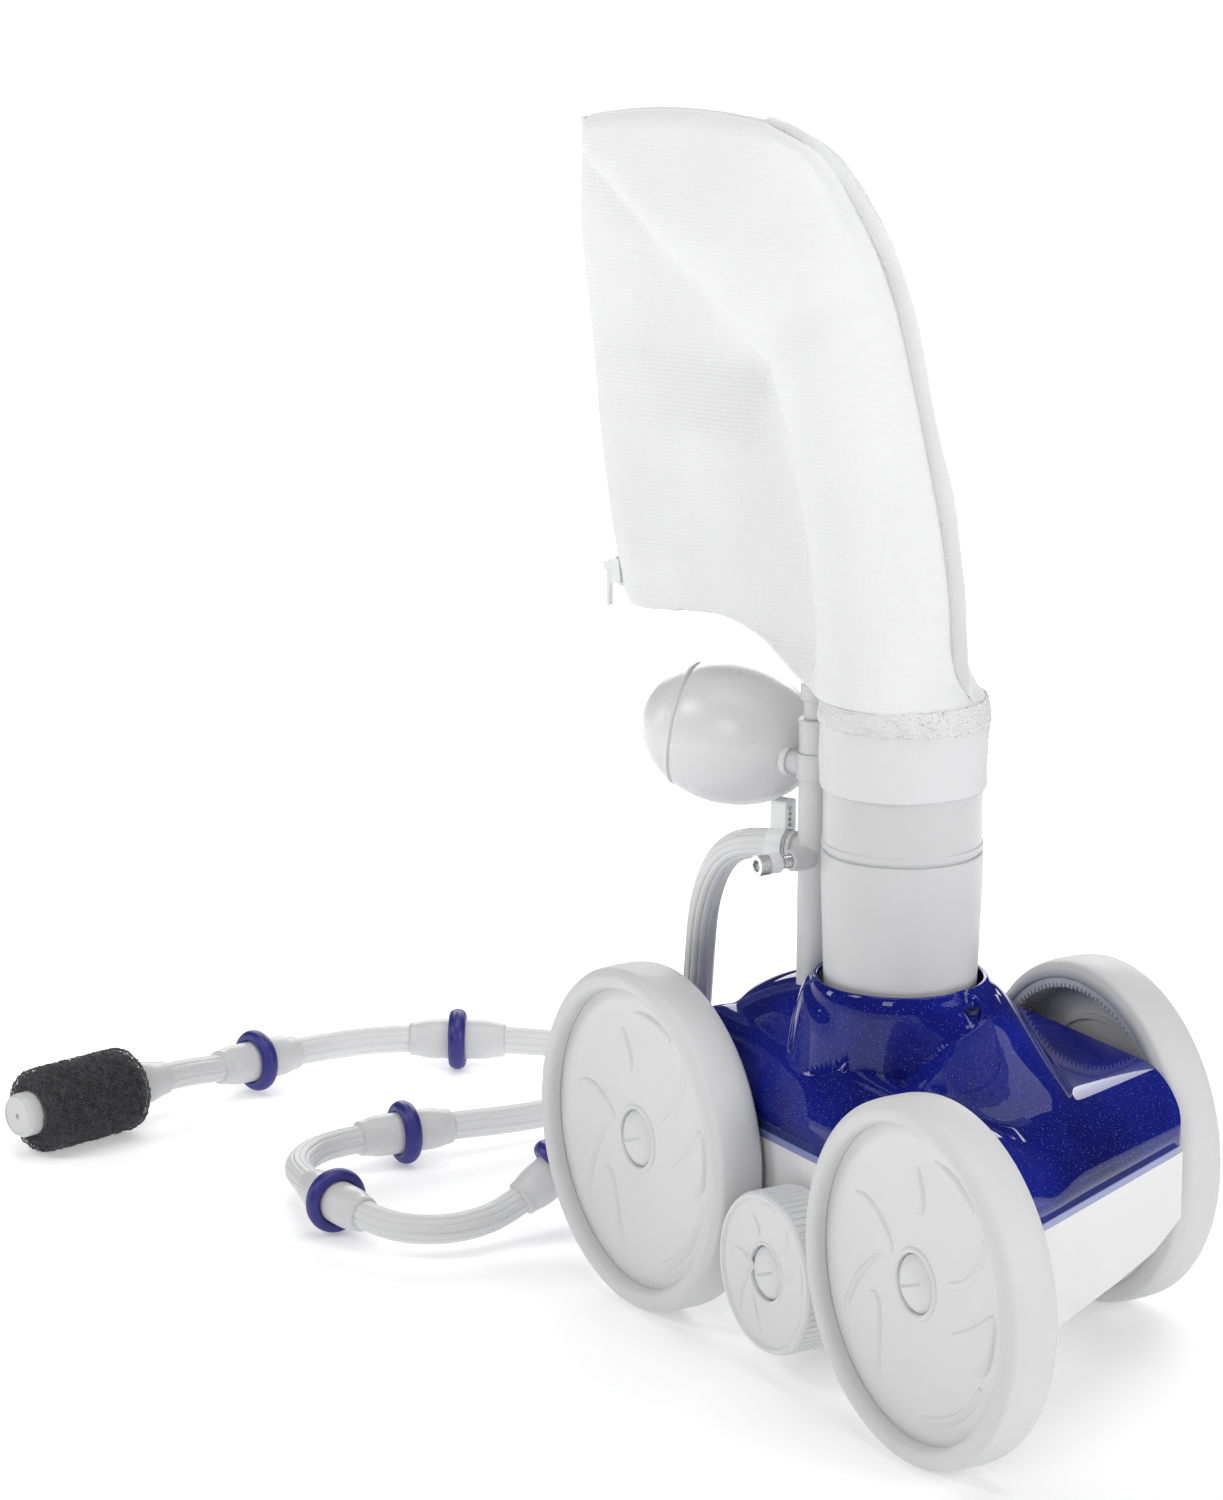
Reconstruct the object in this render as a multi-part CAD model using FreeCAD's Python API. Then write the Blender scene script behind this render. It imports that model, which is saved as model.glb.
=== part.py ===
"""Pressure-side pool cleaner on three wheels, with its debris bag, float and sweep hose.

Millimetres. X runs the way the cleaner rolls, +X to the front. Y is along the axles: the
side with two wheels and the idler is at -Y, the single wheel is at +Y. Z is up from the
floor. The origin is on the floor, midway between the two near wheels and midway between
the outer faces of the wheels.
"""
import FreeCAD, Part
import math
import os

V = FreeCAD.Vector

# ---- driving dimensions -------------------------------------------------------------
WHEEL_R = 80.0
WHEEL_WIDTH = 26.75
WHEEL_BASE = 226.6                  # between the two near axles
TRACK = 210.8                       # outer face to outer face
SIDE_WHEEL_X = -19.4
AXLE_Z = WHEEL_R
TYRE_BORE_R = 71.5
TYRE_LIP_R = 69.5
WEB_DEPTH = 7.6                     # wheel face below the tyre's outer face
GEAR_MODULE = 1.0
RING_TEETH = 136
PINION_TEETH = 40
TOOTH_ADDENDUM = 0.85
TOOTH_DEDENDUM = 1.1
PINION_TOOTH = 1.28                 # tooth width on the pitch circle
RING_TOOTH = 1.36
IDLER_R = 36.8
IDLER_Z = 50.2
IDLER_FACE_Y = -103.2
BEARING_R = 11.0
BEARING_WIDTH = 7.0
AXLE_R = 4.75
RUNNING = 0.05                      # radial clearance of a running fit
CLEAR = 0.35                        # gap between curved faces of different bodies

SEAM_Z = 97.0                       # where the cover meets the lower housing
NEAR_Y, FAR_Y = -76.0, 74.0
NEAR_HALF_LENGTH = 142.6
FAR_FRONT_X, FAR_REAR_X = 68.9, -107.0
HOUSING_WALL = 2.6
COVER_WALL = 2.6

TUBE_X, TUBE_Y = -18.0, -20.0
TUBE_BORE_R = 31.75                 # 2.5 inch vacuum bore
TUBE_LOW_R, TUBE_TOP_R = 34.0, 35.9
TUBE_FOOT_Z, TUBE_NECK_Z, TUBE_TOP_Z = 20.0, 165.0, 228.5
COLLAR_Z = 230.0
CUFF_Z, BAND_Z, BAG_Z = 258.0, 288.0, 299.0
NECK_TOP_Z = 171.0
FLANGE_HEIGHT = 3.6

REAR = V(-0.8944, -0.4472, 0)       # plan direction of the feed pipe, float and bag
ACROSS = V(-0.4472, 0.8944, 0)      # square to it
FEED_S = 45.3                       # feed pipe's distance behind the tube's axis
FEED_R = 7.2
FEED_FOOT_Z, FEED_TOP_Z = 112.0, 282.0
HOSE_OUT_Z = 221.5
HOSE_OUT_S = 57.0
FLOAT_ARM_Z = 260.5
SHAFT_X, SHAFT_Z, SHAFT_R = -66.35, 90.0, 4.0
THRUST = V(-124.0, -10.0, 82.0)     # centre of the thrust jet's ball

HOSE_R = 7.0
HOSE_ROUTE = [(-69.0, -45.5, 221.5), (-87, -54.5, 221.5), (-107, -58, 211), (-127, -55, 185),
              (-139, -50, 150), (-153, -43, 117), (-175, -34, 92), (-198, -36, 73),
              (-211, -56, 52), (-217, -104, 16.5), (-210, -136, 14), (-223, -161, 14),
              (-249, -170, 16.1), (-299, -171, 16.1), (-332, -161, 15), (-350, -132, 16.1),
              (-343, -68, 16.1), (-341, -28, 14), (-344, 9, 14), (-362, 43, 14), (-397, 64, 14),
              (-431, 58, 14), (-452, 31, 16.1), (-486, -22, 16.1), (-495, -50, 14.5),
              (-490, -77, 16.1), (-483, -127, 16.9), (-472.2, -151.6, 21.8), (-466.5, -177, 21.8)]
RING_RUNS = [8, 12, 15, 22, 25]     # the runs of the route that carry a wear ring
RING_SHARES = [0.48, 0.44, 0.6, 0.47, 0.5]
WEAR_RING_R, WEAR_RING_WIDTH = 16.0, 9.0
COLLAR_R, COLLAR_LENGTH = 10.25, 50.0
SCRUBBER_R, SCRUBBER_LENGTH = 21.7, 63.0

nodes = {}


# ---- helpers ------------------------------------------------------------------------
def at(s, z, across=0.0):
    """The point s behind the tube's axis, at height z."""
    return V(TUBE_X, TUBE_Y, z) + REAR * s + ACROSS * across


def cylinder(r, start, end):
    way = end - start
    return Part.makeCylinder(r, way.Length, start, way)


def ring(outer, inner, start, end):
    return cylinder(outer, start, end).cut(cylinder(inner, start, end))


def box(low, high):
    return Part.makeBox(high[0] - low[0], high[1] - low[1], high[2] - low[2], V(*low))


def fused(first, *others):
    return first.multiFuse(list(others)).removeSplitter()


def turned(profile, origin, axis, out):
    """Revolves a closed (radius, distance) outline about the axis through origin."""
    points = [origin + out * r + axis * a for r, a in profile]
    face = Part.Face(Part.makePolygon(points + points[:1]))
    return solid(face.revolve(origin, axis, 360))


def solid(shape):
    if shape.ShapeType == "Solid":
        made = shape
    elif shape.Solids:
        made = shape.Solids[0]
    else:
        made = Part.makeSolid(shape if shape.ShapeType == "Shell" else shape.Shells[0])
    if made.Volume < 0:
        made.reverse()
    return made


def prism(points, way):
    return solid(Part.Face(Part.makePolygon(points + points[:1])).extrude(way))


def loft(sections):
    outlines = [Part.makePolygon(points + points[:1]) for points in sections]
    return solid(Part.makeLoft(outlines, True, True))


def placed(shape, origin, x_way, z_way):
    """Moves a shape drawn at the origin so that its Z runs along z_way and its X along x_way."""
    z_way, x_way = V(z_way).normalize(), V(x_way).normalize()
    y_way = z_way.cross(x_way)
    m = FreeCAD.Matrix(x_way.x, y_way.x, z_way.x, origin.x, x_way.y, y_way.y, z_way.y, origin.y,
                       x_way.z, y_way.z, z_way.z, origin.z, 0, 0, 0, 1)
    return shape.transformed(m)


def gear_outline(teeth, tip, root, tooth, phase):
    """Points of a toothed outline about the origin. A tooth is centred on phase.

    tip and root are the radii of the tooth's end and of the gap's floor, and tooth is its
    width on the pitch circle. The flanks slope by 20 degrees.
    """
    pitch = GEAR_MODULE * teeth / 2
    slope = math.tan(math.radians(20))
    points = []
    for k in range(teeth):
        middle = phase + 2 * math.pi * k / teeth
        outward = 1 if tip > root else -1
        for side, radius in ((-1, root), (-1, tip), (1, tip), (1, root)):
            half = tooth / 2 - outward * (radius - pitch) * slope
            angle = middle + side * half / pitch
            points.append((radius * math.cos(angle), radius * math.sin(angle)))
    return points


def export(name, shape):
    nodes[name] = shape


# ---- lower housing ------------------------------------------------------------------
def front_x(y):
    share = (y - NEAR_Y) / (FAR_Y - NEAR_Y)
    return NEAR_HALF_LENGTH + share * (FAR_FRONT_X - NEAR_HALF_LENGTH)


def rear_x(y):
    share = (y - NEAR_Y) / (FAR_Y - NEAR_Y)
    return -NEAR_HALF_LENGTH + share * (FAR_REAR_X + NEAR_HALF_LENGTH)


# y, and the heights of the end edge, of the slope's middle and of the lowest flat
HOUSING_SECTIONS = [(NEAR_Y, 46, 36, 24), (-62, 46.5, 34, 14), (22, 53.5, 40, 17), (52, 57.5, 52, 46),
                    (FAR_Y, 66, 64, 62)]


def housing_block(inset, top):
    sections = []
    for y, edge, middle, low in HOUSING_SECTIONS:
        y_in = min(max(y, NEAR_Y + inset), FAR_Y - inset)
        front, rear = front_x(y) - inset, rear_x(y) + inset
        outline = [(front, top), (front, edge + inset), (56, middle + inset), (24, low + inset),
                   (-60, low + inset), (-96, middle + inset), (rear, edge + inset), (rear, top)]
        sections.append([V(x, y_in, z) for x, z in outline])
    return loft(sections)


BOSS_R, BOSS_LENGTH, BOSS_HOLE = 9.0, 17.0, 15.0     # the bosses that the wheel screws go into
IDLER_BOSS_LENGTH, IDLER_BOSS_HOLE = 13.5, 12.0
THROAT_MOUTH_R, THROAT_MOUTH_Z, THROAT_TOP_Z = 43.0, 12.0, 40.0
THROAT_R = 38.5
THROAT_FLARE_HEIGHT = 8.0
BUSH_R = 6.0
THRUST_SOCKET_R, THRUST_SOCKET_FRONT, THRUST_SOCKET_REAR = 13.0, 12.0, 8.0


def axle_places():
    """Name, centre on the outer face, and the inward way of each driven wheel."""
    near = V(0, -TRACK / 2, AXLE_Z)
    return [("front", near + V(WHEEL_BASE / 2, 0, 0), V(0, 1, 0)),
            ("rear", near - V(WHEEL_BASE / 2, 0, 0), V(0, 1, 0)),
            ("side", V(SIDE_WHEEL_X, TRACK / 2, AXLE_Z), V(0, -1, 0))]


def screw_boss(wall, inward, length, depth):
    """A boss inside the housing's wall, and the hole for the screw that goes into it."""
    return cylinder(BOSS_R, wall - inward * 1.2, wall + inward * length), \
        cylinder(AXLE_R, wall - inward * 3, wall + inward * depth)


def lower_housing():
    body = housing_block(0, SEAM_Z).cut(housing_block(HOUSING_WALL, SEAM_Z + 5))
    mouth = V(TUBE_X, TUBE_Y, 0)
    up = V(0, 0, 1)
    throat = turned([(TUBE_LOW_R, THROAT_MOUTH_Z), (THROAT_MOUTH_R, THROAT_MOUTH_Z),
                     (THROAT_R, THROAT_MOUTH_Z + 10), (THROAT_R, THROAT_TOP_Z), (TUBE_LOW_R, THROAT_TOP_Z)],
                    mouth, up, V(1, 0, 0))
    body = body.cut(cylinder(THROAT_R - 0.5, mouth, mouth + up * (THROAT_TOP_Z - 1)))
    places = []
    for _, centre, inward in axle_places():
        wall_y = NEAR_Y if inward.y > 0 else FAR_Y
        places.append((V(centre.x, wall_y, centre.z), inward, BOSS_LENGTH, BOSS_HOLE))
    places.append((V(0, NEAR_Y, IDLER_Z), V(0, 1, 0), IDLER_BOSS_LENGTH, IDLER_BOSS_HOLE))
    bosses, holes = zip(*[screw_boss(*place) for place in places])
    holes = list(holes)
    body = fused(body, throat, *bosses)
    for y in (NEAR_Y - 1, FAR_Y - HOUSING_WALL - 2):
        holes.append(cylinder(BUSH_R, V(SHAFT_X, y, SHAFT_Z), V(SHAFT_X, y + 6, SHAFT_Z)))
    holes.append(cylinder(THRUST_SOCKET_R, THRUST + V(12, 0, 0), THRUST - V(12, 0, 0)))
    flare = Part.makeCone(THROAT_MOUTH_R - 1, TUBE_LOW_R, THROAT_FLARE_HEIGHT,
                          mouth + up * THROAT_MOUTH_Z, up)
    for hole in holes + [flare, cylinder(TUBE_LOW_R, mouth, mouth + up * 45)]:
        body = body.cut(hole)
    return body


# ---- top cover ----------------------------------------------------------------------
CROWN_NEAR_Z, CROWN_FAR_Z = 140.0, 131.0             # the lid's height along its two long sides
HUMP_Z, SPINE_Z = 167.0, 158.0
END_ROUND, SIDE_ROUND = 34.0, 26.0                   # reach of the rounding in from the edges
BLEND = 5.0


def smooth_max(a, b, blend):
    return (a + b + math.sqrt((a - b) ** 2 + blend ** 2)) / 2


def edge_rise(distance, reach):
    share = min(max(distance / reach, 0.0), 1.0)
    return math.sqrt(1 - (1 - share) ** 2)


def cover_height(x, y):
    """Height of the cover's outer face without its neck: a crowned lid, a hump and a spine."""
    rise = edge_rise(front_x(y) - x + 1, END_ROUND) * edge_rise(x - rear_x(y) + 1, END_ROUND)
    rise *= edge_rise(y - NEAR_Y + 1, SIDE_ROUND)
    height = CROWN_FAR_Z + (CROWN_NEAR_Z - CROWN_FAR_Z) * (FAR_Y - y) / (FAR_Y - NEAR_Y)
    if x < 0:
        along = min(max((-48 - x) / 90, 0), 1.3)
        hump = HUMP_Z - 40 * along ** 1.7 - 30 * (abs(y + 33) / 30) ** 2.2
        height = smooth_max(height, hump, BLEND)
    if x > -15:
        ahead = min(max((x - 14) / 72, 0), 1.3)
        spine = SPINE_Z - 46 * ahead ** 1.15 - 24 * (abs(y + 4 * ahead) / 20) ** 2
        height = smooth_max(height, spine, BLEND)
    return SEAM_Z + FLANGE_HEIGHT + (height - SEAM_Z - FLANGE_HEIGHT) * rise


COVER_SHARES = [0, 0.02, 0.06, 0.12, 0.2, 0.28, 0.36, 0.44, 0.52, 0.6, 0.68, 0.76, 0.84, 0.9, 0.95,
                0.985, 1]
COVER_ROWS = [-76, -74.5, -71, -65, -58, -49, -40, -31, -20, -8, 4, 16, 28, 42, 58, 74]


def cover_block(inset, floor):
    """The space under the cover's outer face, drawn in by inset on every side."""
    sections = []
    for share in COVER_SHARES:
        section = []
        for row in COVER_ROWS:
            y = NEAR_Y + inset + (row - NEAR_Y) * (1 - 2 * inset / (FAR_Y - NEAR_Y))
            rear, front = rear_x(y) + 1.1 * inset, front_x(y) - 1.1 * inset
            x = rear + share * (front - rear)
            full_x = rear_x(row) + share * (front_x(row) - rear_x(row))
            section.append(V(x, y, cover_height(full_x, row) - inset))
        first, last = section[0], section[-1]
        section += [V(last.x, last.y, floor), V(first.x, first.y, floor)]
        sections.append(section)
    return loft(sections)


NECK_R = TUBE_TOP_R + 0.6
NECK_FOOT_Z = 138.0
# how far out from the neck's bore, and the height there
NECK_SLOPE = [(0, NECK_TOP_Z - 0.6), (1.6, NECK_TOP_Z), (4.5, NECK_TOP_Z - 1.6), (8, NECK_TOP_Z - 7),
              (10.5, NECK_TOP_Z - 16), (12, NECK_FOOT_Z)]


def cover_neck():
    slope = [(NECK_R + out, height) for out, height in NECK_SLOPE]
    return turned([(NECK_R, NECK_FOOT_Z)] + slope, V(TUBE_X, TUBE_Y, 0), V(0, 0, 1), V(1, 0, 0))


COVER_SCREW_PLACES = [(25, -12), (-92, 48), (-104, 0)]
COVER_SCREW_HEAD_R, COVER_SCREW_R, COVER_SCREW_SINK = 4.2, 1.8, 2.2
COVER_SCREW_HEAD, COVER_SCREW_LENGTH, COVER_SCREW_HOLE = 1.8, 18.0, 24.0


def cover_top(x, y):
    """Height of the cover's outer face with its neck."""
    away = math.hypot(x - TUBE_X, y - TUBE_Y) - NECK_R
    for (near, high), (far, low) in zip(NECK_SLOPE, NECK_SLOPE[1:]):
        if near <= away <= far:
            return max(cover_height(x, y), high + (low - high) * (away - near) / (far - near))
    return cover_height(x, y)


def top_cover():
    outer = cover_block(0, SEAM_Z).fuse(cover_neck())
    mouth = V(TUBE_X, TUBE_Y, 0)
    shell = outer.cut(cover_block(COVER_WALL, SEAM_Z - 4))
    shell = shell.cut(cylinder(NECK_R, mouth, mouth + V(0, 0, 220)))
    feed = at(FEED_S, 0)
    shell = shell.cut(cylinder(FEED_R + 0.4, feed, feed + V(0, 0, 220)))
    for x, y in COVER_SCREW_PLACES:
        top = cover_top(x, y)
        seat = V(x, y, top - COVER_SCREW_SINK)
        shell = shell.cut(cylinder(COVER_SCREW_HEAD_R + 0.2, seat, V(x, y, top + 20)))
        shell = shell.cut(cylinder(COVER_SCREW_R + 0.1, V(x, y, top - COVER_SCREW_HOLE), seat))
    return max(shell.Solids, key=lambda s: s.Volume)


def cover_screws():
    screws = []
    for x, y in COVER_SCREW_PLACES:
        seat = cover_top(x, y) - COVER_SCREW_SINK
        head = cylinder(COVER_SCREW_HEAD_R, V(x, y, seat), V(x, y, seat + COVER_SCREW_HEAD))
        head = head.cut(box((x - 3, y - 0.5, seat + COVER_SCREW_HEAD / 2), (x + 3, y + 0.5, seat + 3)))
        screws.append(fused(head,
                            cylinder(COVER_SCREW_R, V(x, y, seat - COVER_SCREW_LENGTH),
                                     V(x, y, seat + 0.5))))
    return Part.makeCompound(screws)


# ---- vacuum tube, collar and bag ----------------------------------------------------
EDGE_BREAK = 0.8                    # chamfer on the rims of the tube and collar
COLLAR_TOP_Z = CUFF_Z + 27


def vacuum_tube():
    foot = V(TUBE_X, TUBE_Y, 0)
    body = turned([(TUBE_BORE_R, TUBE_FOOT_Z), (TUBE_LOW_R, TUBE_FOOT_Z), (TUBE_LOW_R, TUBE_NECK_Z),
                   (TUBE_TOP_R, TUBE_TOP_Z - 14), (TUBE_TOP_R, TUBE_TOP_Z - EDGE_BREAK),
                   (TUBE_TOP_R - EDGE_BREAK, TUBE_TOP_Z), (TUBE_BORE_R, TUBE_TOP_Z)], foot, V(0, 0,
                                                                                              1), V(1, 0,
                                                                                                    0))
    for nozzle in jet_nozzles(JET_R + 0.1):
        body = body.cut(nozzle)
    return body


def bag_collar():
    foot = V(TUBE_X, TUBE_Y, 0)
    inner = TUBE_TOP_R - EDGE_BREAK
    return turned([(TUBE_BORE_R, TUBE_TOP_Z), (inner, TUBE_TOP_Z), (inner, COLLAR_Z),
                   (TUBE_TOP_R, COLLAR_Z + 0.6), (TUBE_TOP_R, COLLAR_TOP_Z - 3), (inner, COLLAR_TOP_Z),
                   (TUBE_BORE_R, COLLAR_TOP_Z)], foot, V(0, 0, 1), V(1, 0, 0))


CUFF_THICK, BAND_THICK = 1.3, 1.7


def bag_cuff():
    foot = V(TUBE_X, TUBE_Y, 0)
    up = V(0, 0, 1)
    return ring(TUBE_TOP_R + CUFF_THICK, TUBE_TOP_R + CLEAR, foot + up * CUFF_Z, foot + up * BAND_Z)


def bag_band():
    foot = V(TUBE_X, TUBE_Y, 0)
    up = V(0, 0, 1)
    return ring(TUBE_TOP_R + BAND_THICK, TUBE_TOP_R - EDGE_BREAK, foot + up * BAND_Z, foot + up * BAG_Z)


# height, front edge, rear edge and half thickness of the bag
BAG_SECTIONS = [(299, -36.6, 36.9, 36.6), (306, -35.5, 51, 36.4), (314, -34.4, 64, 36.3),
                (320, -33.6, 80, 36.2), (324, -33.2, 143.6, 36), (345, -31.5, 145.8, 35.5),
                (386, -25.5, 150.0, 34), (430, -13.5, 154.5, 31), (476, -1.5, 159.3, 26),
                (505, 13, 162.2, 20), (528, 33, 164.6, 14), (543, 54, 166.1, 9), (553, 92, 160, 4)]
BAG_WALL = 2.0
SEAM_REACH, SEAM_THICK = 5.0, 1.2


def bag_outline(z, front, rear, half, inset):
    """One level of the bag: round in front, tapering to the zip's edge behind."""
    front, rear, half = front + inset, rear - inset, half - inset
    span = rear - front
    nose = min(2 * half, span) / 2
    one_side = [(front + nose * 0.13, 0.5), (front + nose * 0.5, 0.86), (front + nose, 1.0)]
    tail = rear - front - nose
    narrow = min(1.0, 3.0 / half)
    if tail > nose * 1.05:
        one_side += [(front + nose + tail * 0.35, 0.88), (front + nose + tail * 0.7, 0.56), (rear, narrow)]
    else:
        one_side += [(front + nose + tail * 0.5, 0.866), (front + nose + tail * 0.87, 0.5), (rear, 0.06)]
    near = [at(s, z, -half * share) for s, share in one_side]
    far = [at(s, z, half * share) for s, share in reversed(one_side)]
    return [at(front, z)] + near + far


def bag():
    outer = loft([bag_outline(*row, 0) for row in BAG_SECTIONS])
    inner = [list(row) for row in BAG_SECTIONS]
    inner[0][0] -= 1
    inner[-1][0] -= 3
    for row in inner[3:5]:
        row[0] += 2.5
    return outer.cut(loft([bag_outline(*row, BAG_WALL) for row in inner])).Solids[0]


def bag_seam():
    """The sewn flap that stands off the bag's front edge, over the middle of its height."""
    rows = [row for row in BAG_SECTIONS if 340 < row[0] < 530]
    outside = [at(front - SEAM_REACH, z, -SEAM_THICK / 2) for z, front, _, _ in rows]
    inside = [at(front - 0.3, z, -SEAM_THICK / 2) for z, front, _, _ in reversed(rows)]
    return prism(outside + inside, ACROSS * SEAM_THICK)


ZIP_LOW_S, ZIP_LOW_Z, ZIP_TOP_S, ZIP_TOP_Z = 144.15, 330.0, 165.9, 541.0
ZIP_WAY = (V(0, 0, ZIP_TOP_Z - ZIP_LOW_Z) + REAR * (ZIP_TOP_S - ZIP_LOW_S)).normalize()
ZIP_OUT = ACROSS.cross(ZIP_WAY)     # square to the zip, away from the bag
if ZIP_OUT.dot(REAR) < 0:
    ZIP_OUT = ZIP_OUT * -1


ZIP_GAP = 0.4                       # from the bag's edge to the chain
CHAIN_WIDTH, CHAIN_DEPTH = 4.8, 3.6


def zip_chain():
    low = at(ZIP_LOW_S + ZIP_GAP, ZIP_LOW_Z, -CHAIN_WIDTH / 2)
    top = at(ZIP_TOP_S + ZIP_GAP, ZIP_TOP_Z, -CHAIN_WIDTH / 2)
    return prism([low, top, top + ZIP_OUT * CHAIN_DEPTH, low + ZIP_OUT * CHAIN_DEPTH], ACROSS * CHAIN_WIDTH)


SLIDER_HEIGHT = 11.0
SLIDER_UP = 2.0                     # above the chain's lower end
PULL_LENGTH = 19.0
SLIDER_PIN_OUT = 8.2                # the pull's pin, out from the chain's inner edge
SLIDER_PIN_UP, SLIDER_PIN_R = 8.0, 0.9
PULL_EYE_R, PULL_HALF_WIDTH, PULL_HALF_THICK = 2.0, 1.7, 0.7


def slider_frame(shape):
    return placed(shape, at(ZIP_LOW_S + ZIP_GAP, ZIP_LOW_Z) + ZIP_WAY * SLIDER_UP, ZIP_OUT, ZIP_WAY)


def zip_slider():
    body = box((0.6, -4.4, 0), (5.8, 4.4, SLIDER_HEIGHT))
    body = body.cut(box((-1, -2.8, -1), (4.0, 2.8, SLIDER_HEIGHT + 1)))
    ears = [box((5.6, y, 6), (SLIDER_PIN_OUT + 1.6, y + 1.0, 10)) for y in (-3.0, 2.0)]
    pin = cylinder(SLIDER_PIN_R, V(SLIDER_PIN_OUT, -2.5, SLIDER_PIN_UP),
                   V(SLIDER_PIN_OUT, 2.5, SLIDER_PIN_UP))
    return slider_frame(fused(body, *ears, pin))


def pull_pivot():
    return at(ZIP_LOW_S + ZIP_GAP,
              ZIP_LOW_Z) + ZIP_WAY * (SLIDER_UP + SLIDER_PIN_UP) + ZIP_OUT * SLIDER_PIN_OUT


def zip_pull():
    pivot = pull_pivot()
    side = ACROSS * PULL_HALF_WIDTH
    thick = REAR * PULL_HALF_THICK
    low = pivot - V(0, 0, PULL_LENGTH)
    corners = [pivot - thick, pivot + thick, low + thick, low - thick]
    tab = prism([p - side for p in corners], side * 2)
    made = fused(cylinder(PULL_EYE_R, pivot - side, pivot + side), tab)
    return made.cut(cylinder(SLIDER_PIN_R + 0.07, pivot - ACROSS * 2, pivot + ACROSS * 2))


# ---- feed pipe, float and hose fittings ---------------------------------------------
FEED_BORE_R = 4.6
FEED_FLANGE, FEED_FLANGE_HEIGHT = 0.5, 2.0
SCREW_BOSS_R = 5.0
SCREW_X, SCREW_Z = -55.5, 219.0
SCREW_R, SCREW_HEAD_R, SCREW_BUSH_R = 3.0, 4.8, 4.6
SCREW_SOCKET = 5.0                  # across the flats of the screw's hexagon socket
COUPLING_BORE_R, COUPLING_R, COUPLING_TIP_R = 3.6, 5.2, 6.9
COUPLING_STEP_Z, COUPLING_TOP_Z = 290.5, 298.3


def screw_point(y):
    return V(SCREW_X, y, SCREW_Z)


def feed_pipe():
    foot = at(FEED_S, 0)
    up = V(0, 0, 1)
    pipe = cylinder(FEED_R, foot + up * FEED_FOOT_Z, foot + up * FEED_TOP_Z)
    flange = cylinder(FEED_R + FEED_FLANGE, foot + up * (FEED_TOP_Z - FEED_FLANGE_HEIGHT),
                      foot + up * FEED_TOP_Z)
    boss = cylinder(SCREW_BOSS_R, screw_point(-44), screw_point(-55))
    pipe = fused(pipe, flange, boss)
    pipe = pipe.cut(cylinder(FEED_BORE_R, foot + up * FEED_FOOT_Z, foot + up * FEED_TOP_Z))
    return pipe.cut(cylinder(SCREW_R + RUNNING, screw_point(-42), screw_point(-56)))


def feed_coupling():
    foot = at(FEED_S, 0)
    up = V(0, 0, 1)
    return turned([(COUPLING_BORE_R, FEED_TOP_Z), (COUPLING_R, FEED_TOP_Z), (COUPLING_R, COUPLING_STEP_Z),
                   (COUPLING_TIP_R, COUPLING_STEP_Z + 0.7), (COUPLING_TIP_R, COUPLING_TOP_Z - 0.8),
                   (COUPLING_TIP_R - 0.6, COUPLING_TOP_Z), (COUPLING_BORE_R, COUPLING_TOP_Z)],
                  foot, up, V(1, 0, 0))


FLOAT_R, FLOAT_HALF_LENGTH = 32.2, 41.5
FLOAT_CENTRE = at(95, 266.3, 10)
FLOAT_WAY = (REAR * 0.959 - ACROSS * 0.248 + V(0, 0, 0.139)).normalize()
FLOAT_SEAM = 20.4                   # the seam's distance behind the float's middle
FLOAT_WALL = 2.2
FLOAT_ARM_R = 5.2
FLOAT_ARM_END_S = 72.0
CLIP_WALL, CLIP_HALF_HEIGHT = 1.3, 6.0


def float_arc(inset, start, end):
    """Points of the float's oval outline, drawn in by inset, from one place on its axis to another."""
    length, radius = FLOAT_HALF_LENGTH - inset, FLOAT_R - inset
    first, last = [math.acos(min(max(place / length, -1.0), 1.0)) for place in (start, end)]
    steps = 14
    angles = [first + (last - first) * i / steps for i in range(steps + 1)]
    return [(radius * math.sin(angle), length * math.cos(angle)) for angle in angles]


def float_half(tip):
    """Half of the hollow float, from its seam to the tip in front, -1, or behind, +1."""
    end = tip * FLOAT_HALF_LENGTH
    outline = float_arc(0, FLOAT_SEAM, end) + float_arc(FLOAT_WALL, FLOAT_SEAM, end)[::-1]
    outline = [(0, place) if radius < 1e-6 else (radius, place) for radius, place in outline]
    return turned(outline, FLOAT_CENTRE, FLOAT_WAY, ACROSS.cross(FLOAT_WAY).normalize())


def float_front():
    return float_half(-1).cut(cylinder(FLOAT_ARM_R, at(FEED_S, FLOAT_ARM_Z),
                                       at(FLOAT_ARM_END_S + 3, FLOAT_ARM_Z)))


def float_arm():
    pipe = at(FEED_S, 0)
    arm = cylinder(FLOAT_ARM_R, at(FEED_S + 3, FLOAT_ARM_Z), at(FLOAT_ARM_END_S, FLOAT_ARM_Z))
    clip = ring(FEED_R + CLIP_WALL, FEED_R, pipe + V(0, 0, FLOAT_ARM_Z - CLIP_HALF_HEIGHT),
                pipe + V(0, 0, FLOAT_ARM_Z + CLIP_HALF_HEIGHT))
    clip = clip.common(box_about(at(FEED_S + 6.6, FLOAT_ARM_Z), 8.2, 12, 12))
    made = fused(arm, clip)
    return made.cut(cylinder(FEED_R, pipe + V(0, 0, 200), pipe + V(0, 0, 300)))


def box_about(centre, along, across, height):
    """A block centred on a point, its length along REAR."""
    corners = [centre + REAR * (i * along / 2) + ACROSS * (j * across / 2) - V(0, 0, height / 2)
               for i, j in ((-1, -1), (1, -1), (1, 1), (-1, 1))]
    return prism(corners, V(0, 0, height))


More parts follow.
